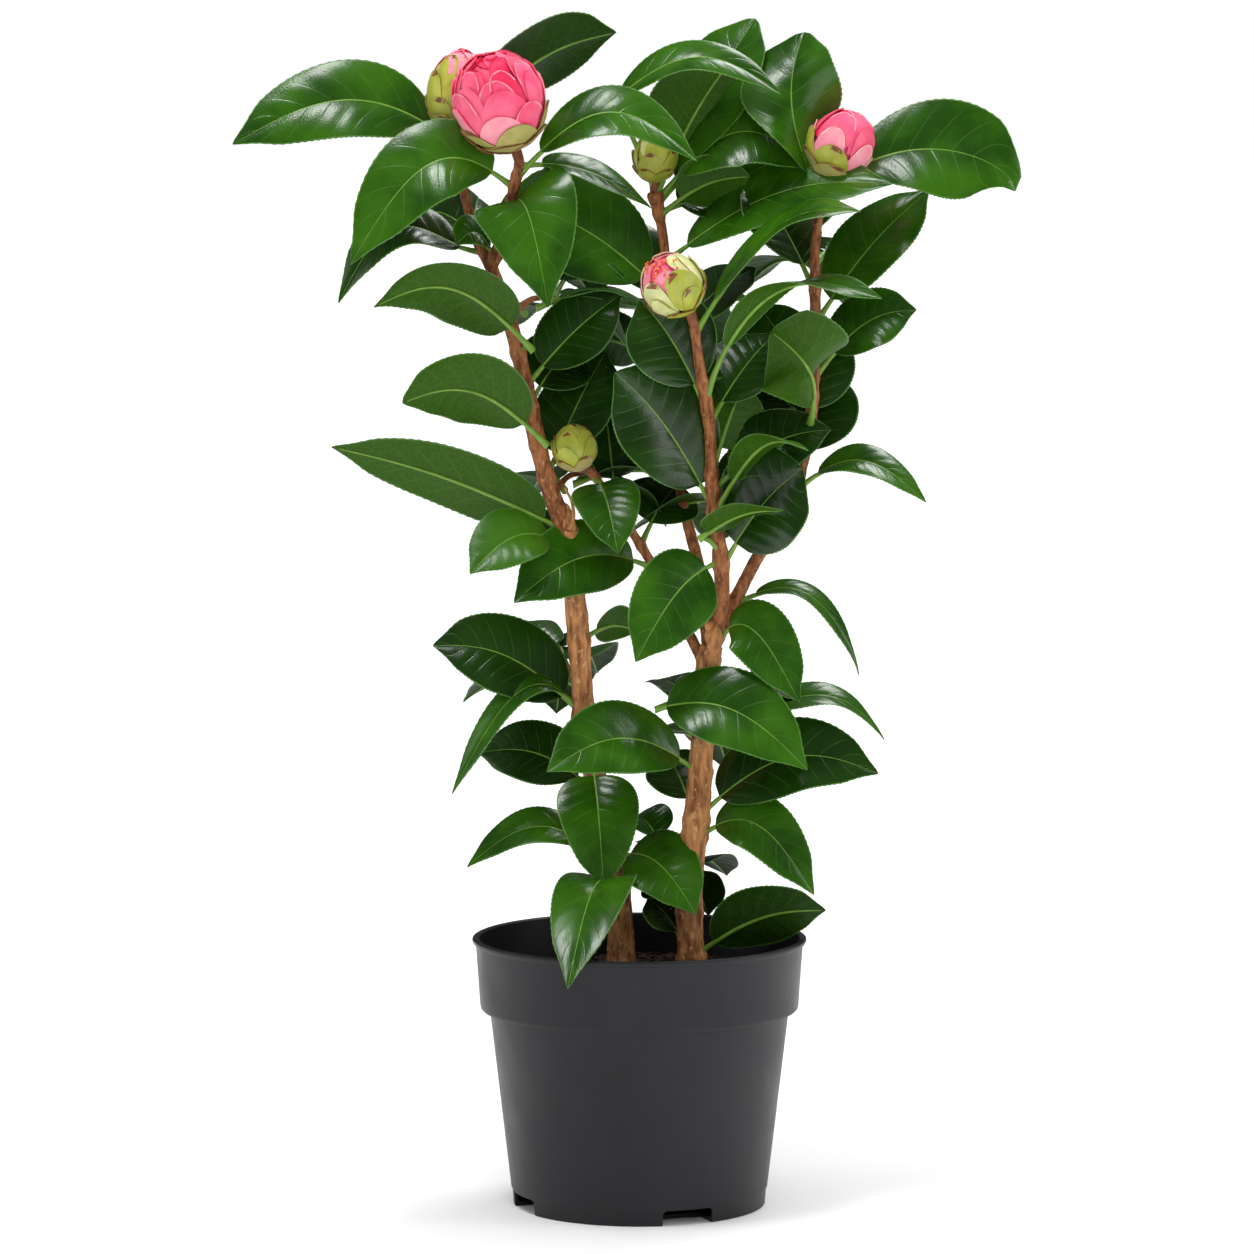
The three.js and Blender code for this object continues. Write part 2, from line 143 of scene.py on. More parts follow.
def claim(piece, slot, *nodes):
    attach(piece, "root")
    if nodes:
        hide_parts(*nodes)


def joined(name, parts, material, slot, sharp=None):
    points, faces, count = [], [], 0
    for spot, some in parts:
        points.append(spot)
        faces += [tuple(count + k for k in f) for f in some]
        count += len(spot)
    claim(meshFrom(name, np.concatenate(points), faces, [material], sharp=sharp), slot)


def newStore():
    return {"points": [], "faces": [], "which": [], "layout": [], "count": 0}


def addTo(store, points, faces, which):
    first = store["count"]
    store["points"].append(points)
    store["faces"] += [tuple(first + k for k in f) for f in faces]
    store["which"] += which
    store["count"] += len(points)


def smoothStep(x, low, high):
    t = np.clip((x - low) / (high - low), 0, 1)
    return t * t * (3 - 2 * t)


def unit(v):
    v = np.asarray(v, float)
    return v / np.maximum(np.linalg.norm(v, axis=-1, keepdims=True), 1e-9)


def smoothLine(points, step):
    # A centripetal spline through the points, with stations a step apart.
    p = np.array(points, float)
    p = np.vstack([2 * p[0] - p[1], p, 2 * p[-1] - p[-2]])
    parts = []
    for a, b, c, d in zip(p, p[1:], p[2:], p[3:]):
        k = [np.linalg.norm(y - x) ** 0.5 for x, y in ((a, b), (b, c), (c, d))]
        m = ((b - a) / k[0] - (c - a) / (k[0] + k[1]) + (c - b) / k[1]) * k[1]
        n = ((c - b) / k[1] - (d - b) / (k[1] + k[2]) + (d - c) / k[2]) * k[1]
        s = np.linspace(0, 1, 30, endpoint=False)[:, None]
        parts.append((2 * s**3 - 3 * s**2 + 1) * b + (s**3 - 2 * s**2 + s) * m
                     + (3 * s**2 - 2 * s**3) * c + (s**3 - s**2) * n)
    line = np.vstack(parts + [p[-2][None]])
    run = np.concatenate([[0], np.cumsum(np.linalg.norm(np.diff(line, axis=0), axis=1))])
    stations = np.linspace(0, run[-1], max(3, int(run[-1] / step) + 1))
    return np.stack([np.interp(stations, run, line[:, i]) for i in range(3)], axis=1), stations


# Materials of the plant.

venation = {"pairs": 8.0, "lean": 0.36, "from edge": 0.47, "full by": 0.3}


def sideVeins(tree, low, high):
    # Side veins lean towards the tip and fade before the edge; they follow the leaf's own layout.
    place = addNode(tree, "ShaderNodeUVMap", {"uv_map": "leaf"}).outputs[0]
    split = addNode(tree, "ShaderNodeSeparateXYZ", {}, {0: place})
    out = mathNode(tree, "ABSOLUTE", mathNode(tree, "SUBTRACT", split.outputs[1], 0.5))
    lean = mathNode(tree, "MULTIPLY", out, venation["lean"])
    phase = mathNode(tree, "MULTIPLY", mathNode(tree, "SUBTRACT", split.outputs[0], lean),
                     venation["pairs"])
    off = mathNode(tree, "ABSOLUTE", mathNode(tree, "SUBTRACT", mathNode(tree, "FRACT", phase), 0.5))
    return mathNode(tree, "MULTIPLY", ramp(tree, off, low, high),
                    ramp(tree, out, venation["from edge"], venation["full by"]))


def veinNet(tree, size):
    # The fine net between the veins; size is the width of one mesh in millimetres.
    coords = addNode(tree, "ShaderNodeTexCoord").outputs["Object"]
    return addNode(tree, "ShaderNodeTexVoronoi", {"feature": "DISTANCE_TO_EDGE", "Scale": 1000 / size},
                   {"Vector": coords}).outputs[0]


def leafTop(name, colour, vein, gloss):
    # The waxy upper side: strong gloss, paler side veins that loop before the edge, slight mottling.
    material, tree, shader = newMaterial(name, colour, gloss, 0.45)
    veins = sideVeins(tree, 0.455, 0.495)
    mottle = noiseNode(tree, 30, 3)
    tint = blendColour(tree, ramp(tree, mottle, 0.38, 0.62), colour, vein)
    shade = blendColour(tree, mathNode(tree, "MULTIPLY", veins, 0.22), tint, "#5F8A3A")
    tree.links.new(shade, shader.inputs["Base Color"])
    net = mathNode(tree, "MULTIPLY", ramp(tree, veinNet(tree, 2.381), 0, 0.2), 0.25)
    bump(tree, shader, mathNode(tree, "SUBTRACT", net, mathNode(tree, "MULTIPLY", veins, 0.8)), 0.12, 0.6)
    return material


def leafUnder(name, colour, vein):
    # The underside: matte and yellower, with the veins standing out.
    material, tree, shader = newMaterial(name, colour, 0.5, 0.2)
    veins = mathNode(tree, "MULTIPLY", sideVeins(tree, 0.45, 0.49), 0.6)
    net = mathNode(tree, "MULTIPLY", ramp(tree, veinNet(tree, 3.125), 0.12, 0), 0.35)
    lines = mathNode(tree, "MAXIMUM", veins, net)
    tree.links.new(blendColour(tree, lines, colour, vein), shader.inputs["Base Color"])
    bump(tree, shader, lines, 0.15, 0.5)
    return material


def plain(name, colour, other, size, roughness, specular=0.5, depth=0.0, stretch=(1, 1, 1)):
    # A natural surface whose colour wanders between two near shades, with a fine relief.
    material, tree, shader = newMaterial(name, colour, roughness, specular)
    grain = noiseNode(tree, size, 4, stretch)
    tree.links.new(blendColour(tree, ramp(tree, grain, 0.35, 0.65), colour, other),
                   shader.inputs["Base Color"])
    if depth:
        bump(tree, shader, grain, depth)
    return material


leafMaterials = [
    leafTop("camellia leaf, deep", "#142F05", "#1D3F08", 0.24),
    leafTop("camellia leaf, full green", "#1D4504", "#336409", 0.25),
    leafTop("camellia leaf, fresh", "#2F5C0A", "#3B6C10", 0.34),
    leafUnder("camellia leaf underside", "#1D3B06", "#34560F"),
    leafUnder("camellia leaf underside, young", "#2E5306", "#456F14"),
    plain("leaf stalk and midrib", "#648F2C", "#78A03A", 6, 0.4),
    plain("leaf margin", "#3F6B26", "#557F33", 5, 0.45),
]
deep, full, fresh, under, pale, rib, edge = range(7)

# Limbs: points on the centre line in millimetres, radius at foot and tip, flare at the ground.
limbs = {
    "left_stem": ([[-9, 6, 116.5], [-11, 6, 162], [-22, 5, 216], [-28, 4, 251], [-32, 2, 305],
                   [-37, 0, 345]], 6.4, 5.2, 2.2),
    "left_upper_shoot": ([[-36.5, 0, 343], [-45, -2, 365], [-52, -4, 392], [-63, -8, 443],
                          [-75, -10, 480]], 4.9, 3.4, 0),
    "left_tip_shoot": ([[-75, -10, 479], [-83, -8, 497], [-90, -4, 524], [-93, -2, 542]], 3.0, 2.2, 0),
    "pink_bud_shoot": ([[-74, -10.5, 478], [-67, -15, 503], [-63, -19, 518], [-60, -21, 530]],
                       2.8, 2.2, 0),
    "right_stem": ([[27, -4, 116.5], [25.5, -3, 154], [30.5, -2, 215], [34, -1, 270], [36.5, 0, 286]],
                   6.6, 5.8, 2.4),
    "leader": ([[36.4, 0, 284], [41.5, -3, 311], [41, -6, 332], [37, -9, 363], [35, -12, 400],
                [30, -15, 430], [27.5, -17, 449]], 4.2, 2.4, 0),
    "right_bough": ([[36, 0, 282], [46, 5, 303], [58, 7, 327], [75, 9, 356], [85, 11, 388],
                     [89, 12, 441], [89, 13, 490], [92, 13, 512]], 3.6, 2.4, 0),
    "middle_bough": ([[34, 0, 274], [26, 8, 290], [6, 16, 327], [-7, 12, 348], [-17, 7, 364],
                      [-25, 2, 375]], 2.8, 1.8, 0),
    "back_bough": ([[35.5, 1, 278], [33, 14, 302], [30, 22, 326], [24, 28, 349], [15, 33, 395],
                    [13, 34, 484], [8, 32, 515]], 3.1, 2.3, 0),
}
lineStep = 1.4
limbLines = {name: smoothLine(limb[0], lineStep) for name, limb in limbs.items()}


def pointAt(limb, height):
    line = limbLines[limb][0]
    return np.array([np.interp(height, line[:, 2], line[:, i]) for i in range(3)])


# A leaf: one grid, bent, folded and quilted. Sizes in millimetres; front and back are the powers
# that shape its outline, tooth is how far the edge's teeth stand out.

blade = {"stations": 56, "across": 8, "thickness": 0.5, "petiole": 12, "rib": 0.5, "veins": 8,
         "tooth": 0.45, "fold": 13, "curl": 0.1, "quilt": 0.32, "front": 0.55, "back": 0.78,
         "stalk": 1.25, "stalkSides": 7, "stalkStations": 26}
sprays = {}


def tubeFaces(first, sides, stations):
    faces = []
    for i in range(stations - 1):
        a, b = first + i * sides, first + (i + 1) * sides
        for k in range(sides):
            m = (k + 1) % sides
            faces.append((a + k, a + m, b + m, b + k))
    faces.append(tuple(first + k for k in reversed(range(sides))))
    faces.append(tuple(first + (stations - 1) * sides + k for k in range(sides)))
    return faces


def bladeColumns():
    return [("rib", 0.0)] + [("body", s) for s in np.linspace(0, 1, blade["across"])] + [("edge", 1.0)]


def leafFaces():
    rows = blade["stations"]
    half = len(bladeColumns())
    cols = 2 * half - 1
    faces, kind = [], []
    low = rows * cols
    for i in range(rows - 1):
        for j in range(cols - 1):
            a, b = i * cols + j, (i + 1) * cols + j
            outer = j in (0, cols - 2)
            middle = j in (half - 2, half - 1)
            part = "edge" if outer else ("rib" if middle else "top")
            faces.append((a, b, b + 1, a + 1))
            kind.append(part)
            faces.append((low + a, low + a + 1, low + b + 1, low + b))
            kind.append("edge" if outer else "under")
        a, b = i * cols, (i + 1) * cols
        faces.append((a, low + a, low + b, b))
        a, b = a + cols - 1, b + cols - 1
        faces.append((a, b, low + b, low + a))
        kind += ["edge", "edge"]
    for j in range(cols - 1):
        last = (rows - 1) * cols
        faces.append((j, j + 1, low + j + 1, low + j))
        faces.append((last + j, low + last + j, low + last + j + 1, last + j + 1))
        kind += ["edge", "edge"]
    stalk = tubeFaces(2 * rows * cols, blade["stalkSides"], blade["stalkStations"])
    return faces + stalk, kind + ["rib"] * len(stalk)


faceTemplate, faceKinds = leafFaces()


def leafPoints(base, reach, width, turn, arch, shape, seed):
    # The upper side, the underside and the tube of stalk and midrib, and each point's place in the leaf.
    rng = random.Random(seed)
    span = np.array(reach, float)
    length = np.linalg.norm(span)
    stalk = shape.get("petiole", blade["petiole"]) / length
    skew, sway = shape.get("skew", 1), shape.get("sway", 0)
    level = unit(np.array([span[1], -span[0], 0.0]))
    if level[1] > 0:
        level = -level

    def midline(t):
        t = np.asarray(t, float)[:, None]
        wavy = np.sin(np.pi * np.clip(t, 0, 1)**skew)
        lift = arch * np.sign(wavy) * np.abs(wavy) ** shape.get("plateau", 1)
        return base + span * t + up * lift + level * sway * np.sin(np.pi * t)

    def frameAt(t):
        along = unit(midline(t + 0.004) - midline(t - 0.004))
        side = np.cross(along, up)
        side = unit(np.where((side @ level)[:, None] < 0, -side, side))
        top = np.cross(side, along)
        top = unit(np.where(top[:, 2:] < 0, -top, top))
        angle = np.radians(turn + shape.get("twist", 0) * (t - 0.5))[:, None]
        face = top * np.cos(angle) + side * np.sin(angle)
        return along, face, np.cross(face, along)

    # Outline: widest where the front and back powers meet, with a drawn-out tip and toothed edge.
    rows = blade["stations"]
    u = np.linspace(0, 1, rows) ** 0.97
    t = stalk + (1 - stalk) * u
    along, face, across = frameAt(t)
    outline = np.maximum(u, 1e-4) ** shape.get("front", blade["front"]) \
        * np.maximum(1 - u, 0) ** shape.get("back", blade["back"])
    outline = outline / outline.max() * (1 - 0.30 * smoothStep(u, 0.80, 0.97))
    half = np.maximum(width / 2 * outline, 0.28)
    ribWidth = np.minimum(blade["rib"] * (1.1 - u), half * 0.5)
    columns = []
    for part, s in bladeColumns():
        if part == "rib":
            columns.append(np.zeros(rows))
        elif part == "edge":
            tooth = np.where(np.arange(rows) % 2 == 0, blade["tooth"], 0.0) * smoothStep(u, 0.06, 0.2)
            columns.append(half + tooth * (1 - u**8))
        else:
            columns.append(ribWidth + (np.maximum(half - 0.5, half * 0.9) - ribWidth) * s)
    right = np.stack(columns, axis=1)
    offset = np.concatenate([-right[:, :0:-1], right], axis=1)
    v = offset / half[:, None]
    far = np.abs(v)
    # Surface: folded along the midrib, curled down at the edge, quilted between veins, and wavy.
    fold = np.radians(shape.get("fold", blade["fold"])) * (1 - 0.45 * u)[:, None]
    curl = shape.get("curl", blade["curl"])
    phase = blade["veins"] * (u[:, None] - 0.18 * far) + np.where(v < 0, 0.2, 0.0)
    quilt = (np.abs(np.sin(np.pi * phase)) - 0.6) * smoothStep(far, 0.04, 0.3) * (1 - far**4)
    wavePhase = [rng.uniform(0, 6.3), rng.uniform(0, 6.3)]
    waveSize = shape.get("wave", 1.0)
    wave = np.where(v < 0, np.sin(9 * u + wavePhase[0])[:, None], np.sin(8 * u + wavePhase[1])[:, None])
    lift = (np.abs(offset) * np.tan(fold) - curl * half[:, None] * far**3
            + blade["quilt"] * quilt * np.minimum(half[:, None] / 15, 1.2)
            + waveSize * wave * far**2 * (half[:, None] / 20))
    lift = lift - 0.35 * np.exp(-(offset / 0.9) ** 2)
    place = midline(t)[:, None] + across[:, None] * (offset * np.cos(fold))[..., None] \
        + face[:, None] * lift[..., None]
    thick = blade["thickness"] * (1 - 0.35 * far)
    below = place - face[:, None] * thick[..., None]
    # Stalk and midrib: one tube under the surface, stouter towards the limb.
    stations = blade["stalkStations"]
    ts = np.linspace(0, 0.97, stations)
    _, faceS, acrossS = frameAt(ts)
    grow = (ts - stalk) / (1 - stalk)
    radius = np.where(grow < 0, blade["stalk"] + 0.9 * (-grow / stalk * (1 - stalk)) ** 2,
                      blade["stalk"] * (1 - np.maximum(grow, 0)) ** 0.8 * 0.75 + 0.18)
    centre = midline(ts) - faceS * (np.where(grow < 0, 0.3, 0.62) * radius + 0.5)[:, None]
    angle = np.linspace(0, 2 * np.pi, blade["stalkSides"], endpoint=False)
    ring = acrossS[:, None] * np.cos(angle)[None, :, None] + faceS[:, None] * np.sin(angle)[None, :, None]
    tube = centre[:, None] + ring * radius[:, None, None]
    points = np.concatenate([place.reshape(-1, 3), below.reshape(-1, 3), tube.reshape(-1, 3)])
    grid = np.stack([np.broadcast_to(u[:, None], v.shape), np.clip(v, -1, 1) * 0.5 + 0.5], axis=-1)
    flat = grid.reshape(-1, 2)
    stalkPlace = np.stack([np.repeat(np.clip(grow, 0, 1), blade["stalkSides"]),
                           np.full(stations * blade["stalkSides"], 0.5)], axis=1)
    return points * mm, np.concatenate([flat, flat, stalkPlace])


def addLeaf(spray, base, reach, width, turn, arch, shape, seed):
    store = sprays.setdefault(spray, newStore())
    points, layout = leafPoints(np.asarray(base, float), reach, width, turn, arch, shape, seed)
    tint, back = shape.get("tint", full), shape.get("under", under)
    table = {"top": tint, "under": back, "rib": rib, "edge": edge}
    store["layout"].append(layout)
    addTo(store, points, faceTemplate, [table[k] for k in faceKinds])


# Leaves that show from the front: where each leaves its limb (height), where its tip lies from
# there (right, back, up), width, turn about its midrib (0 faces up, + to the front), arch, and what
# is special in its shape. A leaf is full green on top unless told otherwise.
old = {"tint": deep}  # an older leaf, deep green on top
laidOut = {}
laidOut["left_tip_shoot"] = [
    (540, [-111, -12, 0], 44, 62, 22, {"fold": 10, "skew": 0.92}),
    (536, [80, 30, 60], 50, -50, 16, {"fold": 10, "skew": 0.85}),
    (487, [-72, -15, -26], 34, 35, 27, {"tint": deep, "skew": 1.4}),
    (492, [-38, 42, 10], 34, 40, 8, old),
    (498, [2, 42, 14], 22, 40, 4, old),
]
laidOut["pink_bud_shoot"] = [
    (519, [-81, -20, -38], 46, 58, 31, {}),
    (484, [-19, -14, 6], 22, 45, 9, {"petiole": 3}),
    (524, [90, -10, 8], 33, 46, 28, {}),
    (531, [66, 18, -22], 26, 30, 8, {}),
    (484, [27, -40, -24], 55, 28, 40, {"fold": 18, "twist": 20, "front": 0.45}),
]
laidOut["left_upper_shoot"] = [
    (435, [-80, -6, 22], 43, -50, 20, {"under": pale, "front": 0.36, "back": 0.9, "curl": 0.3,
                                    "offset": [8, -9, 2]}),
    (418, [48, 12, 46], 36, 60, 4, old),
    (408, [24, 40, 26], 38, 40, 6, old),
    (388, [-73, -9, 22], 46, -52, 16, {"under": pale, "front": 0.45, "back": 0.62,
                                       "offset": [5, -7, 1]}),
    (372, [30, 30, 62], 44, 20, 4, old),
]
laidOut["left_stem"] = [
    (345, [-118, -10, 43], 37, -62, 5, {"under": pale, "front": 0.42}),
    (336, [-49, -34, -10], 36, 42, 13, {"tint": fresh}),
    (330, [-52, 40, 6], 34, 40, 10, old),
    (250, [-77, 0, 36], 44, 62, 12, old),
    (250, [-67, -22, -37], 21, 22, 32, {"skew": 0.9}),
    (210, [-62, 24, 18], 38, 50, 10, old),
    (226, [6, -38, -60], 42, 4, 8, {"front": 0.42}),
    (172, [-75, -12, 2], 26, 35, 21, {}),
    (177, [42, -34, -24], 40, 35, 13, {}),
    (158, [-25, -97, -35], 40, 0, 25, {"offset": [0, -3, 3]}),
    (288, [30, 30, 2], 22, -60, 6, {"under": pale}),
]
laidOut["middle_bough"] = [
    (325, [-70, -44, -14], 42, 56, 14, {}),
    (372, [12, -36, -36], 35, 12, 8, {"front": 0.35}),
    (356, [-8, 26, 64], 54, 12, 6, old),
    (346, [-16, 34, -30], 38, 45, 8, old),
    (362, [-34, 24, 48], 40, 15, 6, old),
    (336, [20, 26, 30], 40, 30, 4, old),
]
laidOut["leader"] = [
    (356, [-50, -16, 70], 54, 80, 8, {"tint": deep, "front": 0.5, "back": 0.66}),
    (406, [-34, -2, 56], 48, 76, 6, {"tint": deep, "back": 0.62}),
    (447, [82, -14, 60], 36, 18, 22, {"under": pale}),
    (412, [87, -26, 52], 27, -4, 34, {"under": pale, "twist": 100, "skew": 0.74}),
    (374, [17, 16, 46], 40, -112, 4, {"under": pale, "front": 0.45, "back": 0.6}),
    (366, [60, 12, 30], 38, 50, 8, old),
    (354, [46, -26, 34], 24, -24, 18, {"under": pale, "twist": 50, "tint": fresh}),
    (327, [40, -20, 51], 56, 80, 6, {"tint": deep, "front": 0.42, "back": 0.5}),
    (334, [42, -16, 15], 32, -16, 5, {"under": pale, "front": 0.3, "tint": fresh, "petiole": 5,
                                     "offset": [-11, -14, 9]}),
    (330, [-43, -32, -48], 42, 62, 10, {}),
    (400, [34, 30, 44], 40, 25, 4, old),
    (350, [40, 24, 46], 42, 20, 4, old),
    (420, [-30, 26, 36], 42, 20, 4, old),
]
laidOut["back_bough"] = [
    (462, [-84, -4, 48], 56, 66, 10, {"back": 0.6}),
    (480, [113, -42, 40], 42, 46, 15, {}),
    (513, [38, 4, 68], 50, -88, 6, {"under": pale}),
    (511, [82, -18, 15], 46, 52, 27, {}),
    (503, [46, -8, 20], 32, -60, 6, {"under": pale}),
    (509, [70, 18, 30], 44, 62, 14, {}),
    (505, [58, 30, -4], 42, 40, 8, old),
    (514, [84, -12, 3], 27, 36, 20, {"offset": [-21, -10, 48], "petiole": 3}),
    (514, [51, 24, 89], 56, 26, 4, {"back": 0.6}),
    (425, [-50, 16, 12], 36, -60, 8, {}),
    (436, [46, 18, 40], 42, 20, 6, old),
    (452, [-34, 20, 50], 44, 20, 6, old),
]
laidOut["right_bough"] = [
    (510, [-8, 26, 86], 52, 6, 6, {"back": 0.52, "sway": 11}),
    (508, [98, -10, 8], 54, 64, 25, {"plateau": 0.55, "front": 0.8, "back": 0.5}),
    (450, [58, 18, 66], 42, 36, 6, {}),
    (466, [-34, 22, 56], 44, 20, 6, old),
    (422, [52, 2, 34], 36, 52, 10, {}),
    (396, [-19, -14, 47], 52, -84, 4, {"under": pale, "front": 0.5, "back": 0.5, "sway": 15,
                                     "offset": [-1, -9, 3]}),
    (396, [-42, 30, 26], 42, 40, 8, old),
    (412, [-28, 36, 46], 40, 20, 4, old),
    (365, [66, -16, -5], 26, 28, 18, {}),
    (308, [63, -12, -36], 20, 18, 26, {"under": pale, "skew": 1.3, "plateau": 0.75}),
    (372, [18, 26, 52], 44, 20, 4, old),
    (392, [8, 20, 58], 40, 20, 4, old),
]
laidOut["right_stem"] = [
    (279, [45, -28, -18], 34, 48, 26, {"under": pale, "skew": 0.8}),
    (256, [92, 6, -18], 24, 24, 17, {"under": pale, "skew": 1.9}),
    (252, [58, 10, 4], 22, 30, 12, old),
    (259, [76, -24, -28], 44, 55, 15, {"offset": [-25, -15, -3], "petiole": 6}),
    (199, [92, -6, 23], 44, 56, 19, {"tint": deep, "front": 0.5}),
    (188, [60, -26, -25], 34, 46, 22, {}),
    (127, [68, -10, 26], 38, -60, 8, {}),
    (222, [-77, -46, 6], 42, 56, 17, {}),
    (190, [-8, 30, -30], 30, 30, 4, old),
    (150, [-15, 30, 14], 34, 25, 4, old),
    (128, [-22, 12, 28], 30, 20, 4, old),
    (196, [-16, 28, 34], 34, 20, 4, old),
]
twigs, stalks = [], []
for spray, (limb, leaves) in enumerate(laidOut.items()):
    for i, (height, reach, width, turn, arch, shape) in enumerate(leaves):
        start = pointAt(limb, height)
        if "offset" in shape:
            joint = start + np.array(shape["offset"], float)
            stalks.append(([start, (start + joint) / 2 + up * 2, joint], 1.3, 1.2))
            start = joint
        addLeaf(limb, start, reach, width, turn, arch, shape, 100 * spray + i)  # its own seed

# The masses of foliage that the leaves of each limb stand for.
massesOf = {
    "left_tip_shoot": ["far_left", "top_left_back", "left_shoulder"],
    "pink_bud_shoot": ["left_arch", "top_bridge", "left_fold"],
    "left_upper_shoot": ["left_lobe", "left_inner", "left_mid"],
    "left_stem": ["left_wing", "left_knot", "left_low", "left_shade", "left_foot", "over_rim"],
    "middle_bough": ["centre_left", "middle"],
    "leader": ["centre_large", "centre_upper", "leader_top", "right_ribbon", "centre_right",
               "right_round", "centre_hanging"],
    "back_bough": ["back_left", "back_ribbon", "top_centre", "top_shelf", "back_middle"],
    "right_bough": ["right_top", "far_right", "right_upper", "right_mid", "right_inner",
                    "right_tip", "right_arch"],
    "right_stem": ["right_low", "right_front", "right_skirt", "right_rim", "cross"],
}

# Sprays that grow out at the back by a seeded rule: a twig, with leaves set alternately along it
# and one at its end, each turned up to the light: limb, height, length, heading, share of the fan.
sprayRule = {"twig": 0.42, "bearings": (-46, 0, 46, -24, 26), "rises": (-10, 10, 2, 30, -18),
             "starts": (0.35, 1.0, 0.6, 0.9, 0.75), "reach": (1, 1, 1, 0.86, 0.86)}
grownSprays = {
    "behind_left_top": ("left_upper_shoot", 452, 84, 32, 0.85),
    "behind_left_middle": ("left_upper_shoot", 362, 82, 30, 0.9),
    "behind_left_low": ("left_stem", 262, 80, -22, 0.6),
    "behind_foot": ("right_stem", 158, 70, -14, 0.72),
    "behind_centre": ("back_bough", 446, 84, 4, 1.0),
    "behind_right_low": ("right_stem", 232, 80, 0, 0.6),
    "behind_right_middle": ("right_bough", 350, 84, -40, 0.7),
    "behind_right_top": ("right_bough", 474, 82, 0, 0.45),
}


def bearingAt(angle):
    # Level headings, in degrees to the right of straight back.
    swing = math.radians(angle)
    return np.array([math.sin(swing), math.cos(swing), 0.0])


for number, (mass, (limb, height, length, facing, spread)) in enumerate(grownSprays.items()):
    massesOf[limb].append(mass)
    rng = random.Random(900 + number)
    foot = pointAt(limb, height)
    heading = bearingAt(facing + rng.uniform(-8, 8))
    end = foot + heading * length * sprayRule["twig"] + up * 10
    middle = (foot + end) / 2 + up * 4 + bearingAt(90) * rng.uniform(-2, 2)
    twigs.append(([foot, middle, end], 1.9, 1.2))
    for k, bearing in enumerate(sprayRule["bearings"]):
        start = foot + (end - foot) * sprayRule["starts"][k]
        swing = facing + spread * bearing + rng.uniform(-6, 6)
        tip = foot + bearingAt(swing) * length * sprayRule["reach"][k] + up * sprayRule["rises"][k]
        shape = {"tint": rng.choice([deep, full, full]), "wave": 1.4, "fold": rng.uniform(8, 18)}
        addLeaf(limb, start, tip - start, rng.uniform(32, 40), rng.uniform(-12, 12),
                rng.uniform(8, 15), shape, 2000 + 10 * number + k)

for limb, store in sprays.items():
    words = limb.split("_")
    name = "foliage" + "".join(word.capitalize() for word in words)
    piece = meshFrom(name, np.concatenate(store["points"]), store["faces"], leafMaterials,
                     store["which"], np.concatenate(store["layout"]), 55)
    claim(piece, "foliage", *["leaves_" + mass for mass in massesOf[limb]])
print("leaves, faces:", sum(len(s["faces"]) for s in sprays.values()))


# Bark: a tube round each limb's line, with ridges, leaf scars and a flared foot.

def barkMaterial(name, low, high, fleck, size):
    # Fissures run up the stem, darker in the cracks, with pale flecks where the bark has worn.
    material, tree, shader = newMaterial(name, low, 0.72, 0.3)
    long = noiseNode(tree, size, 6, (1, 1, 0.28))
    fine = noiseNode(tree, size * 0.3, 4, (1, 1, 0.5))
    spots = noiseNode(tree, size * 0.8, 2, (1, 1, 0.7))
    tint = blendColour(tree, ramp(tree, long, 0.36, 0.62), low, high)
    tint = blendColour(tree, mathNode(tree, "MULTIPLY", ramp(tree, spots, 0.60, 0.68), 0.6), tint, fleck)
    tree.links.new(tint, shader.inputs["Base Color"])
    relief = mathNode(tree, "ADD", ramp(tree, long, 0.3, 0.7), mathNode(tree, "MULTIPLY", fine, 0.4))
    bump(tree, shader, relief, 0.5, 0.8)
    return material


stemBark = barkMaterial("fissured trunk bark", "#7E4C2B", "#CB9059", "#E0BB8E", 3.2)
shootBark = barkMaterial("young bark", "#6A3B22", "#AC6F43", "#C79468", 2.2)

# Relief is how far the ridges stand out; a leaf scar swells the limb where each leaf leaves it.
bark = {"trunkSides": 40, "trunkRelief": 0.55, "shootSides": 22, "shootRelief": 0.18,
        "flareReach": 9, "scarSwell": 0.7, "scarReach": 2.6, "wander": 0.04}


def barkTube(points, radii, sides, relief, seed):
    # Ridges run up the tube: the noise is stretched along it.
    line = np.asarray(points, float)
    along = unit(np.gradient(line, axis=0))
    across = unit(np.cross([0.0, 1.0, 0.0], along))
    deepSide = np.cross(along, across)
    angle = np.linspace(0, 2 * np.pi, sides, endpoint=False)
    ring = across[:, None] * np.cos(angle)[None, :, None] + deepSide[:, None] * np.sin(angle)[None, :, None]
    spot = line[:, None] + ring * np.asarray(radii)[:, None, None]
    swell = np.zeros(spot.shape[:2])
    for i in range(spot.shape[0]):
        for k in range(sides):
            x, y, z = spot[i, k]
            ridge = abs(noise.noise(Vector((x * 0.45, y * 0.45, z * 0.07 + seed))))
            rough = noise.noise(Vector((x * 1.1, y * 1.1, z * 0.5 + seed)))
            swell[i, k] = relief * (0.5 - 2.2 * ridge + 0.5 * rough)
    spot = line[:, None] + ring * (np.asarray(radii)[:, None] + swell)[..., None]
    return spot.reshape(-1, 3) * mm, tubeFaces(0, sides, len(line))


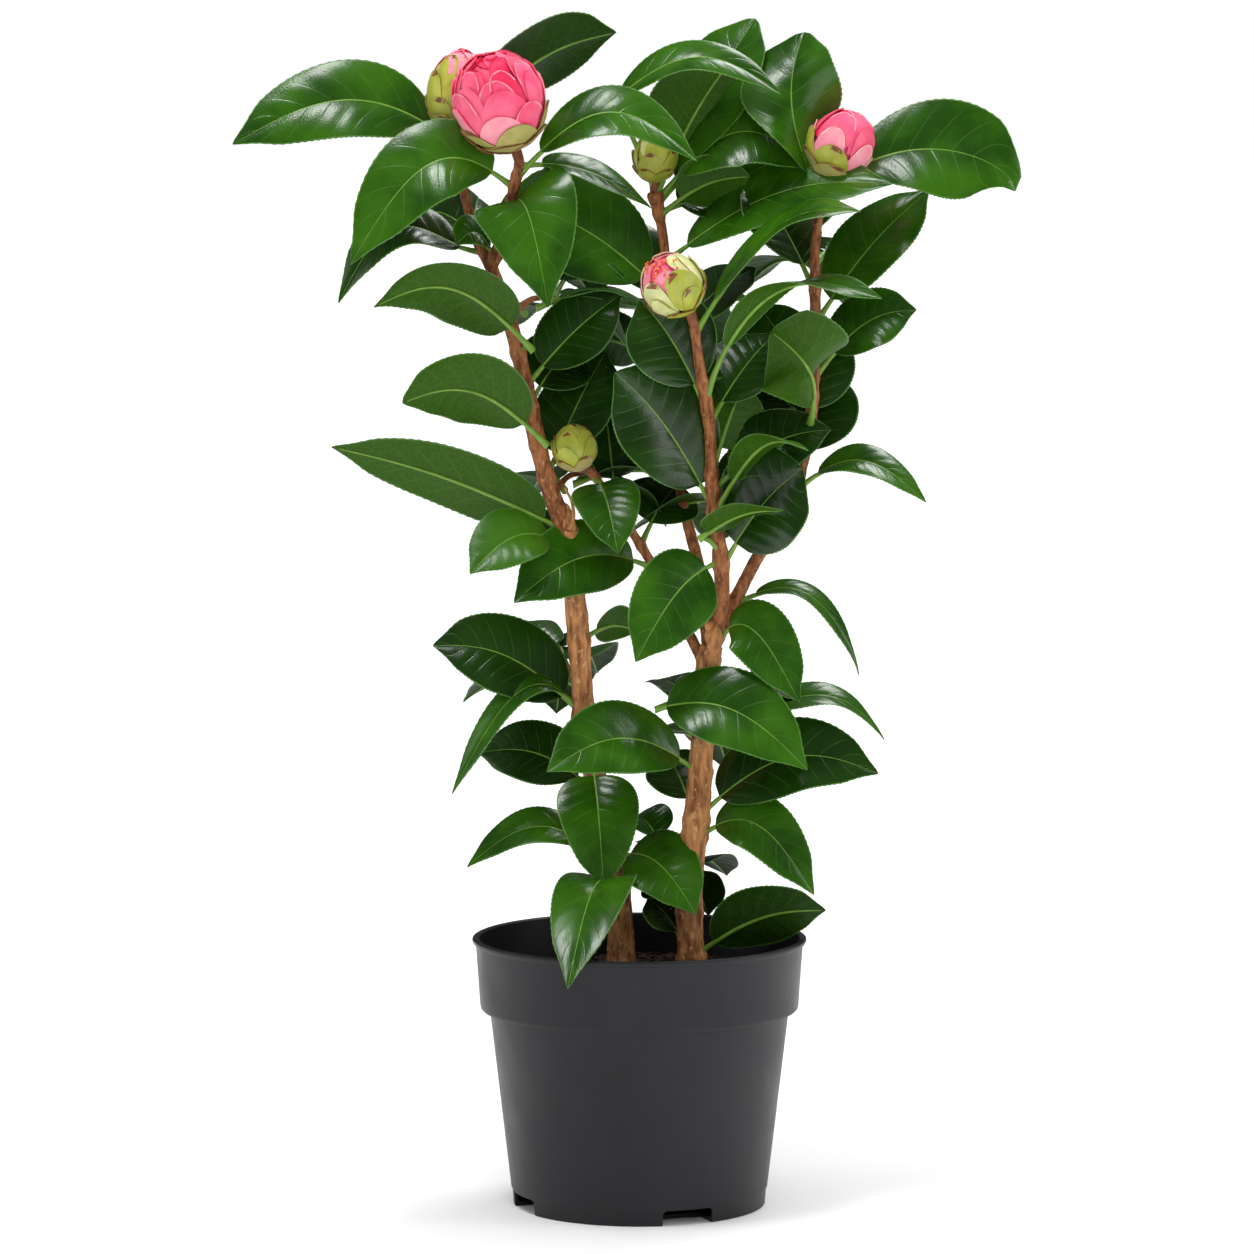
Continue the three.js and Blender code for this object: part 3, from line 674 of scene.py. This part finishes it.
for seed, (name, (points, foot, tip, flare)) in enumerate(limbs.items()):
    line, run = limbLines[name]
    share = run / run[-1]
    radii = foot + (tip - foot) * share + flare * np.exp(-run / bark["flareReach"])
    for leaf in laidOut.get(name, []):
        radii = radii + bark["scarSwell"] * np.exp(-((line[:, 2] - leaf[0]) / bark["scarReach"]) ** 2)
    radii = radii * (1 + bark["wander"] * np.sin(run / 9 + seed))
    trunk = name.endswith("stem")
    if trunk:
        line = np.vstack([line[0] + [0, 0, -4], line])
        radii = np.concatenate([[radii[0]], radii])
    kind = "trunk" if trunk else "shoot"
    spot, faces = barkTube(line, radii, bark[kind + "Sides"], bark[kind + "Relief"], seed * 7.3)
    words = name.split("_")
    piece = meshFrom("bark" + "".join(word.capitalize() for word in words), spot, faces,
                     [stemBark if trunk else shootBark])
    claim(piece, "trunk_bark" if trunk else "young_bark", name)

tubes = []
for points, foot, tip in stalks:
    line, run = smoothLine(points, 1.5)
    tubes.append(barkTube(line, np.linspace(foot, tip, len(line)), 10, 0.02, 3))
joined("leafStalks", tubes, leafMaterials[rib], "foliage")

# Knots: a lump where each stem forks, a cut stub and a dry stalk left on it.
knots = {
    "left fork": ([-38.4, -1.2, 350], [5.0, 4.4, 8.0]), "stub": ([-34.4, -3.4, 347], [2.6, 2.4, 3.0]),
    "right fork": ([38.0, -5.0, 290], [4.6, 4.0, 8.4]), "old scar": ([35.5, -5.8, 297], [2.6, 2.0, 2.8]),
}
dryStalk = [[-35.6, -7, 346], [-33.4, -9, 352], [-34.2, -10, 360], [-37.6, -9, 367]]
lumps = []
ball = bmesh.new()
bmesh.ops.create_icosphere(ball, subdivisions=3, radius=1)
for centre, size in knots.values():
    spot = []
    for v in ball.verts:
        rough = noise.noise(Vector(centre) * 0.3 + v.co * 1.6) * 0.28
        spot.append((np.array(v.co) * (1 + rough) * size + centre) * mm)
    lumps.append((np.array(spot), [tuple(v.index for v in f.verts) for f in ball.faces]))
ball.free()
line, run = smoothLine(dryStalk, 1.0)
lumps.append(barkTube(line, np.linspace(1.3, 0.5, len(line)), 8, 0.1, 9))
joined("stemKnots", lumps, stemBark, "trunk_bark")

tubes = []
for seed, (points, foot, tip) in enumerate(twigs):
    line, run = smoothLine(points, 2)
    tubes.append(barkTube(line, foot + (tip - foot) * run / run[-1], 10, 0.15, 50 + seed))
joined("twigs", tubes, shootBark, "young_bark")
print("bark")

# Flower buds: overlapping petals and scales wrapped round an egg. Fresh petals have a soft sheen;
# the scales outside them are waxier, with grain that runs up the bud.
budMaterials = [
    plain("petal, deep pink", "#E02A52", "#EA3E66", 8, 0.5, 0.25, 0.05),
    plain("petal, pink", "#EF5078", "#F36C8C", 9, 0.5, 0.25, 0.05),
    plain("petal, light pink", "#F58CA2", "#F7A3B0", 9, 0.5, 0.25, 0.05),
    plain("petal edge, cream", "#F6D3C0", "#F3BFB0", 5, 0.5),
    plain("bud scale, yellow green", "#B5B646", "#98A233", 6, 0.42, 0.5, 0.05, (1, 1, 0.5)),
    plain("bud scale, khaki", "#B5A866", "#9C9A50", 6, 0.5, 0.5, 0.05, (1, 1, 0.5)),
    plain("bud scale, brown edge", "#6E3A24", "#8E5230", 3, 0.55),
    plain("bud scale, cream", "#DDDDA0", "#C9CE84", 6, 0.45),
    plain("stamens", "#E85A2C", "#F0A040", 2, 0.5),
]
hot, pink, light, cream, green, khaki, brown, ivory, stamen = range(9)
petalGrid = {"rows": 20, "cols": 17, "thickness": 0.5}
bloom = newStore()


def addPetal(centre, turnTo, across, along, bearing, low, high, halfAngle, layer, tint, rim, rng):
    # From polar angle low, near the bud's base, to high, near its tip, in degrees from the tip.
    rows, cols = petalGrid["rows"], petalGrid["cols"]
    s = (1 - (1 - np.linspace(0, 1, rows)) ** 1.7)[:, None] * np.ones((1, cols))
    q = np.ones((rows, 1)) * np.linspace(-1, 1, cols)[None]
    outline = (0.62 + 0.38 * smoothStep(s, 0, 0.5)) * np.sqrt(
        np.maximum(0.0, 1 - (np.maximum(s - 0.45, 0) / 0.55) ** 2.2)) + 0.02
    polar = np.radians(low + (high - low) * s)
    swing = math.radians(bearing)
    radial = np.array([math.cos(swing), math.sin(swing), 0.0])
    sideways = np.array([-math.sin(swing), math.cos(swing), 0.0])
    main = np.sin(polar)[..., None] * radial + np.cos(polar)[..., None] * up
    spread = (q * outline * math.radians(halfAngle))[..., None]
    direction = main * np.cos(spread) + sideways * np.sin(spread)
    crinkle = np.array([[noise.noise(Vector((i * 0.35, j * 0.3, bearing + low))) for j in range(cols)]
                        for i in range(rows)])
    flare = rng.uniform(0.02, 0.06)
    stretch = layer + flare * s**4 + 0.03 * np.abs(q) ** 3 * s + 0.015 * crinkle
    outside = direction * stretch[..., None]
    inside = direction * (stretch - petalGrid["thickness"] / across)[..., None]
    scale = np.array([across, across, along])
    points = np.concatenate([(outside * scale).reshape(-1, 3), (inside * scale).reshape(-1, 3)])
    points = (points @ np.array(turnTo).T + centre) * mm
    inner = rows * cols
    faces, which = [], []
    for i in range(rows - 1):
        for j in range(cols - 1):
            a, b = i * cols + j, (i + 1) * cols + j
            edgeOn = i >= rows - (6 if rim == brown else 3) or (j in (0, cols - 2) and i > rows * 0.5)
            stained = edgeOn and (rim != brown or abs(j - cols / 2 + 1) < rng.uniform(2, 7))
            part = rim if stained else tint
            faces.append((a, a + 1, b + 1, b))
            faces.append(tuple(inner + k for k in (a, b, b + 1, a + 1)))
            which += [part, tint]
    loop = [j for j in range(cols)] + [i * cols + cols - 1 for i in range(1, rows)] \
        + [(rows - 1) * cols + j for j in range(cols - 2, -1, -1)] \
        + [i * cols for i in range(rows - 2, 0, -1)]
    for a, b in zip(loop, loop[1:] + loop[:1]):
        faces.append((a, inner + a, inner + b, b))
        which.append(rim)
    addTo(bloom, points, faces, which)


def addCore(centre, turnTo, across, along, tint):
    # A closed heart inside the bud, so that nothing dark shows between the petals.
    core = bmesh.new()
    bmesh.ops.create_icosphere(core, subdivisions=3, radius=0.86)
    points = np.array([v.co[:] for v in core.verts]) * [across, across, along]
    faces = [tuple(v.index for v in f.verts) for f in core.faces]
    core.free()
    addTo(bloom, (points @ np.array(turnTo).T + centre) * mm, faces, [tint] * len(faces))


def addBud(centre, axis, across, along, whorls, seed):
    # A whorl: how many, low and high polar angle, half width, layer, tint, edge.
    rng = random.Random(seed)
    turnTo = Vector(axis).to_track_quat("Z", "Y").to_matrix()
    addCore(centre, turnTo, across, along, whorls[2][5][0])
    for count, low, high, width, layer, tint, rim in whorls:
        start = rng.uniform(0, 360)
        for k in range(count):
            addPetal(np.array(centre, float), turnTo, across, along,
                     start + 360 / count * k + rng.uniform(-13, 13), low + rng.uniform(-5, 5),
                     high + rng.uniform(-8, 8), width * rng.uniform(0.82, 1.16),
                     layer + 0.012 * (k % 3), rng.choice(tint), rng.choice(rim), rng)


openWhorls = [
    (3, 80, -8, 30, 0.86, (hot,), (hot,)), (4, 88, 4, 27, 0.89, (hot, pink), (pink, hot)),
    (5, 98, 18, 26, 0.92, (pink, hot), (pink, hot)), (6, 112, 34, 26, 0.945, (pink, hot), (light, pink)),
    (6, 128, 46, 27, 0.965, (pink, light), (light, pink, pink)),
    (6, 146, 62, 30, 0.985, (pink,), (pink, light)),
    (6, 160, 78, 30, 1.0, (pink, pink, light), (pink, light)),
    (6, 172, 104, 26, 1.03, (khaki, green), (brown, khaki)), (5, 176, 124, 28, 1.05, (khaki,), (brown,)),
]
halfWhorls = [
    (3, 80, -8, 34, 0.88, (hot,), (pink,)), (4, 96, 10, 34, 0.91, (pink, hot), (light,)),
    (5, 120, 34, 32, 0.95, (pink,), (pink, light)), (6, 150, 66, 30, 0.98, (pink, light), (cream, light)),
    (5, 170, 88, 30, 1.01, (green, khaki), (brown, khaki)),
    (5, 176, 118, 28, 1.04, (khaki, green), (brown,)),
]
firstWhorls = [
    (4, 70, -14, 24, 1.02, (light, cream), (hot,)), (3, 70, -8, 34, 0.94, (pink,), (hot,)),
    (4, 110, 8, 36, 0.94, (ivory, cream), (cream, brown)), (5, 135, 34, 34, 0.97, (ivory, green), (brown,)),
    (5, 160, 66, 34, 1.0, (green, khaki), (brown,)), (5, 176, 98, 32, 1.03, (green,), (brown,)),
    (4, 177, 128, 30, 1.05, (khaki, green), (brown,)),
]
tightWhorls = [
    (3, 90, -6, 40, 0.9, (green, ivory), (green,)), (4, 110, 12, 38, 0.94, (ivory, green), (brown, green)),
    (5, 140, 40, 34, 0.97, (green,), (green, brown)), (5, 165, 74, 32, 1.0, (green,), (brown, green)),
    (5, 176, 108, 30, 1.03, (green, khaki), (brown,)),
]
paleWhorls = [
    (3, 80, -6, 36, 0.9, (pink,), (light,)), (4, 110, 14, 34, 0.94, (light, ivory), (light, cream)),
    (5, 140, 36, 32, 0.97, (ivory, green), (cream, brown)),
    (5, 165, 70, 30, 1.0, (green, ivory), (brown, green)),
    (5, 176, 104, 28, 1.03, (green, khaki), (brown,)),
]


# Each bud: its shoot, where its middle lies from the shoot's tip, its axis, half its width and
# length, and its whorls.
buds = [
    ("left_tip_shoot", [0, 3, 24], (0.25, 0.0, 1.0), 13.2, 20.0, firstWhorls),
    ("pink_bud_shoot", [-10, -5, 31.5], (-0.3, -0.45, 0.85), 22.4, 25.6, openWhorls),
    ("back_bough", [0, -1, 17.5], (0.0, -0.1, 1.0), 11.5, 12.5, tightWhorls),
    ("leader", [-11, -9, 21], (-0.5, -0.62, 0.6), 15.6, 16.6, paleWhorls),
    ("middle_bough", [-8, -5, 12], (-0.2, -0.2, 1.0), 11.3, 12.0, tightWhorls),
    ("right_bough", [10, 2, 27], (0.45, -0.1, 0.85), 17.0, 18.5, halfWhorls),
]
budPlaces = [limbLines[limb][0][-1] + shift for limb, shift, *_ in buds]
for seed, (limb, shift, axis, across, along, whorls) in enumerate(buds):
    addBud(budPlaces[seed], axis, across, along, whorls, 40 + seed)


def addTube(points, radii, tint, sides=5):
    spot, faces = barkTube(np.array(points, float), radii, sides, 0, 1)
    addTo(bloom, spot, faces, [tint] * len(faces))


# Each bud sits on a short neck that carries on from the tip of its shoot.
neckWidth = 3.0
for centre, (limb, shift, axis, across, along, whorls) in zip(budPlaces, buds):
    shoot = limbLines[limb][0]
    base = centre - unit(np.array(axis)) * along * 0.84
    neck, run = smoothLine([shoot[-5], shoot[-1], shoot[-1] * 0.4 + base * 0.6, base], 1.2)
    addTube(neck, np.linspace(limbs[limb][2] * 1.04, neckWidth, len(neck)), brown, 14)

# A tuft of stamens in the mouth of the pale bud: fine filaments, each with a swollen tip.
tuft = {"bud": 3, "count": 34, "spread": 0.34, "reach": 1.06, "filament": 0.28, "tip": 0.75}
mouth = budPlaces[tuft["bud"]]
mouthAxis, mouthAcross, mouthAlong = buds[tuft["bud"]][2:5]
rng = random.Random(77)
turnTo = np.array(Vector(mouthAxis).to_track_quat("Z", "Y").to_matrix())
for _ in range(tuft["count"]):
    lean = np.array([rng.gauss(0, tuft["spread"]), rng.gauss(0, tuft["spread"]), 1.0])
    heading = turnTo @ (unit(lean) * [mouthAcross, mouthAcross, mouthAlong])
    reach = tuft["reach"] * rng.uniform(0.94, 1.06)
    root, tip = mouth + heading * 0.7, mouth + heading * reach
    thin, fat = tuft["filament"], tuft["tip"]
    addTube([root, tip - heading * 0.05, tip - heading * 0.02, tip], [thin, thin, fat, 0.2], stamen)
blossom = meshFrom("flowerBuds", np.concatenate(bloom["points"]), bloom["faces"], budMaterials,
                   bloom["which"], None, 60)
claim(blossom, "foliage")
print("buds", len(bloom["faces"]))

# The pot: one moulded wall with a beaded rim, a band below it and notches in its foot.
pot = {"sides": 192, "notches": 4, "notchBearing": -67.5, "notchWidth": 27, "notchHeight": 7.8,
       "notchDepth": 24, "notchPlace": 60, "notchRound": 2.4}
potProfile = [  # radius and height, from the middle of the underside round to the middle of the floor
    (0.01, 0.4), (48, 0.4), (49, 0), (63.6, 0), (64.3, 0.5), (64.9, 8.4), (65.5, 9.2), (76.2, 99.5),
    (76.8, 100.4), (80.2, 100.6), (80.9, 101.3), (81.2, 103), (83.3, 133.4), (83.8, 134.3),
    (84.8, 134.9), (85.2, 135.8), (85.0, 136.7), (84.2, 137.1), (82.2, 137.1), (81.5, 136.5),
    (78.9, 105), (74.6, 100.8), (62.8, 3.4), (61.4, 2.4), (0.01, 2.4),
]


def potMaterial():
    # Satin injection-moulded polypropylene: faint orange-peel and soft scuffs in the gloss.
    material, tree, shader = newMaterial("moulded grey polypropylene", "#1E1F22", 0.42, 0.3)
    scuff = noiseNode(tree, 26, 5)
    tree.links.new(blendColour(tree, ramp(tree, scuff, 0.4, 0.7), "#1C1D20", "#222327"),
                   shader.inputs["Base Color"])
    rough = addNode(tree, "ShaderNodeMapRange", {"From Min": 0.3, "From Max": 0.7, "To Min": 0.38,
                                                 "To Max": 0.50}, {"Value": scuff})
    tree.links.new(rough.outputs[0], shader.inputs["Roughness"])
    bump(tree, shader, noiseNode(tree, 0.8, 2), 0.03, 0.5)
    return material


def spun(profile, sides):
    bm = bmesh.new()
    verts = [bm.verts.new((r * mm, 0, z * mm)) for r, z in profile]
    edges = [bm.edges.new(pair) for pair in zip(verts, verts[1:])]
    bmesh.ops.spin(bm, geom=verts + edges, cent=(0, 0, 0), axis=(0, 0, 1), angle=2 * math.pi,
                   steps=sides, use_merge=True)
    bmesh.ops.remove_doubles(bm, verts=bm.verts, dist=0.00005)
    bmesh.ops.recalc_face_normals(bm, faces=bm.faces)
    return bm


def roundedBlock(size, place, bearing, radius):
    # A cutter for one notch, rounded where its walls meet.
    bm = bmesh.new()
    bmesh.ops.create_cube(bm, size=1, matrix=Matrix.Diagonal((*size, 1)))
    upright = [e for e in bm.edges if abs((e.verts[0].co - e.verts[1].co).normalized().x) > 0.9]
    bmesh.ops.bevel(bm, geom=upright, offset=radius, offset_type="OFFSET", segments=5, profile=0.5,
                    affect="EDGES", material=-1)
    bm.transform(Matrix.Rotation(bearing, 4, "Z") @ Matrix.Translation(place))
    mesh = bpy.data.meshes.new("cutter")
    bm.to_mesh(mesh)
    bm.free()
    return placed("cutter", mesh)


def applyCuts(piece, cutters):
    # The blocks are cut away for good, so that the piece keeps no live modifier.
    for cutter in cutters:
        cut = piece.modifiers.new("cut", "BOOLEAN")
        cut.operation = "DIFFERENCE"
        cut.object = cutter
        cut.solver = "EXACT"
    bpy.context.view_layer.update()
    shape = bpy.data.meshes.new_from_object(piece.evaluated_get(bpy.context.evaluated_depsgraph_get()))
    piece.modifiers.clear()
    piece.data = shape
    for cutter in cutters:
        bpy.data.objects.remove(cutter)


body = spun(potProfile, pot["sides"])
potMesh = bpy.data.meshes.new("nurseryPot")
body.to_mesh(potMesh)
body.free()
nurseryPot = placed("nurseryPot", potMesh)
cutters = []
for k in range(pot["notches"]):
    bearing = math.radians(pot["notchBearing"] + 360 / pot["notches"] * k)
    size = [s * mm for s in (pot["notchDepth"], pot["notchWidth"], pot["notchHeight"] * 2)]
    cutters.append(roundedBlock(size, (pot["notchPlace"] * mm, 0, 0), bearing, pot["notchRound"] * mm))
applyCuts(nurseryPot, cutters)
nurseryPot.data.materials.clear()
nurseryPot.data.materials.append(potMaterial())
nurseryPot.data.polygons.foreach_set("use_smooth", np.ones(len(nurseryPot.data.polygons), dtype=bool))
nurseryPot.data.set_sharp_from_angle(angle=math.radians(40))
claim(nurseryPot, "pot_plastic", "pot")

# Compost: an uneven surface with loose crumbs on it.
ground = {"radius": 79.6, "top": 117.5, "rings": 46, "spokes": 120, "rise": 1.6, "fall": 1.5,
          "skirt": 106.5, "crumbs": 1500}


def compostMaterial():
    # Dark, moist peat, lighter where the crumbs have dried.
    material, tree, shader = newMaterial("peat compost", "#1E1510", 0.9, 0.2)
    grain = noiseNode(tree, 3.5, 6)
    tree.links.new(blendColour(tree, ramp(tree, grain, 0.4, 0.7), "#17100C", "#3B2A1E"),
                   shader.inputs["Base Color"])
    bump(tree, shader, grain, 1.2)
    return material


peat = compostMaterial()
rng = random.Random(5)
rings, spokes = ground["rings"], ground["spokes"]
points, faces = [[0, 0, ground["top"]]], []
for i in range(1, rings + 1):
    r = ground["radius"] * i / rings
    for k in range(spokes):
        a = 2 * math.pi * k / spokes
        x, y = r * math.cos(a), r * math.sin(a)
        rise = ground["rise"] * noise.fractal(Vector((x * 0.09, y * 0.09, 3)), 1.0, 2.0, 4)
        rise *= min(1, (ground["radius"] - r) / 4 + 0.2)
        points.append([x, y, ground["top"] + rise - ground["fall"] * (r / 80)])
for k in range(spokes):
    faces.append((0, 1 + k, 1 + (k + 1) % spokes))
    for i in range(rings - 1):
        a, b = 1 + i * spokes, 1 + (i + 1) * spokes
        m = (k + 1) % spokes
        faces.append((a + k, b + k, b + m, a + m))
rim = len(points)
for k in range(spokes):
    x, y, z = points[1 + (rings - 1) * spokes + k]
    points.append([x * 0.97, y * 0.97, ground["skirt"]])
for k in range(spokes):
    m = (k + 1) % spokes
    last = 1 + (rings - 1) * spokes
    faces.append((last + k, rim + k, rim + m, last + m))
faces.append(tuple(rim + k for k in reversed(range(spokes))))
claim(meshFrom("compost", np.array(points) * mm, faces, [peat]), "compost", "soil")

ball = bmesh.new()
bmesh.ops.create_icosphere(ball, subdivisions=1, radius=1)
ball.verts.ensure_lookup_table()
ballPoints = np.array([v.co[:] for v in ball.verts])
ballFaces = [tuple(v.index for v in f.verts) for f in ball.faces]
ball.free()
crumbs = []
for _ in range(ground["crumbs"]):
    a, r = rng.uniform(0, 6.283), (ground["radius"] - 2.5) * math.sqrt(rng.random())
    size = rng.uniform(0.5, 1.9) * np.array([rng.uniform(0.7, 1.4), rng.uniform(0.6, 1.1), 0.6])
    turnBy = np.array(Matrix.Rotation(rng.uniform(0, 6.283), 3, "Z"))
    shape = ballPoints * (1 + 0.25 * np.array([[rng.uniform(-1, 1)] for _ in ballPoints])) * size
    level = ground["top"] + 0.4 - ground["fall"] * r / 80 + rng.uniform(-0.4, 0.9)
    crumbs.append(((shape @ turnBy.T + [r * math.cos(a), r * math.sin(a), level]) * mm, ballFaces))
joined("compostCrumbs", crumbs, peat, "compost", 40)
print("pot and compost")

# Studio: pale floor, white surroundings, soft boxes.
bpy.ops.mesh.primitive_plane_add(size=60)
floor = bpy.context.object
floor.name = "studioFloor"
floorMaterial, tree, shader = newMaterial("white studio floor", "#F4F4F4", 0.9, 0.0)
shader.inputs["Emission Color"].default_value = (1, 1, 1, 1)
# The floor glows more with distance, so that it fades to white around a soft shadow.
glow = {"near": 0.35, "far": 1.6, "dim": 0.04, "bright": 0.5}
spot = addNode(tree, "ShaderNodeTexCoord").outputs["Object"]
away = addNode(tree, "ShaderNodeVectorMath", {"operation": "LENGTH"}, {"Vector": spot})
strength = addNode(tree, "ShaderNodeMapRange", {
    "From Min": glow["near"], "From Max": glow["far"], "To Min": glow["dim"], "To Max": glow["bright"],
    "clamp": True}, {"Value": away.outputs["Value"]})
tree.links.new(strength.outputs[0], shader.inputs["Emission Strength"])
floor.data.materials.append(floorMaterial)

# The white surroundings light the plant softly and are mirrored faintly, so the leaves stay deep green.
sky = {"fill": 0.22, "mirrored": 0.1, "seen": 1.0}
world = bpy.data.worlds.new("studio")
bpy.context.scene.world = world
world.use_nodes = True
tree = world.node_tree
fill = tree.nodes["Background"]
fill.inputs["Color"].default_value = (1, 1, 1, 1)
fill.inputs["Strength"].default_value = sky["fill"]
seen, mirrored = [addNode(tree, "ShaderNodeBackground", {"Color": (1, 1, 1, 1), "Strength": sky[name]})
                  for name in ("seen", "mirrored")]
path = addNode(tree, "ShaderNodeLightPath")
either = addNode(tree, "ShaderNodeMixShader", {}, {0: path.outputs["Is Glossy Ray"],
                                                  1: fill.outputs[0], 2: mirrored.outputs[0]})
both = addNode(tree, "ShaderNodeMixShader", {}, {0: path.outputs["Is Camera Ray"],
                                                1: either.outputs[0], 2: seen.outputs[0]})
tree.links.new(both.outputs[0], tree.nodes["World Output"].inputs["Surface"])

# Soft boxes: where each stands, the height it is aimed at, its width and height, and its power.
softBoxes = {
    "boxRight": ((1.4, -0.3, 0.7), 0.35, (0.4, 1.1), 5),
    "boxLeft": ((-1.4, -0.1, 0.7), 0.35, (0.4, 1.1), 2.4),
    "boxTop": ((-0.36, -0.4, 1.8), 0.4, (0.36, 0.36), 9),
    "boxBack": ((0.5, 0.7, 1.6), 0.4, (0.7, 0.4), 9),
    "boxFront": ((0.2, -2.6, 1.5), 0.3, (1.2, 1.0), 13),
}
for name, (place, height, size, power) in softBoxes.items():
    light = bpy.data.lights.new(name, "AREA")
    light.shape = "RECTANGLE"
    light.size, light.size_y = size
    light.energy = power
    lamp = placed(name, light)
    lamp.location = place
    lamp.rotation_euler = (Vector((0, 0, height)) - Vector(place)).to_track_quat("-Z", "Y").to_euler()
    lamp.visible_glossy = name != "boxFront"  # the front box fills, and isn't mirrored in the leaves
sun = bpy.data.lights.new("sky", "SUN")
sun.energy, sun.angle = 1.7, math.radians(60)
placed("sky", sun).visible_glossy = False

view = {"lens": 165, "sensor": 36, "place": (-0.0063, -2.9, 0.58), "down": 5.6, "reach": 200}
camera = bpy.data.cameras.new("camera")
camera.lens, camera.sensor_width, camera.clip_end = view["lens"], view["sensor"], view["reach"]
eye = placed("camera", camera)
eye.location = view["place"]
eye.rotation_euler = (math.radians(90 - view["down"]), 0, 0)
bpy.context.scene.camera = eye
bpy.context.scene.view_settings.view_transform = "Standard"
print("studio")
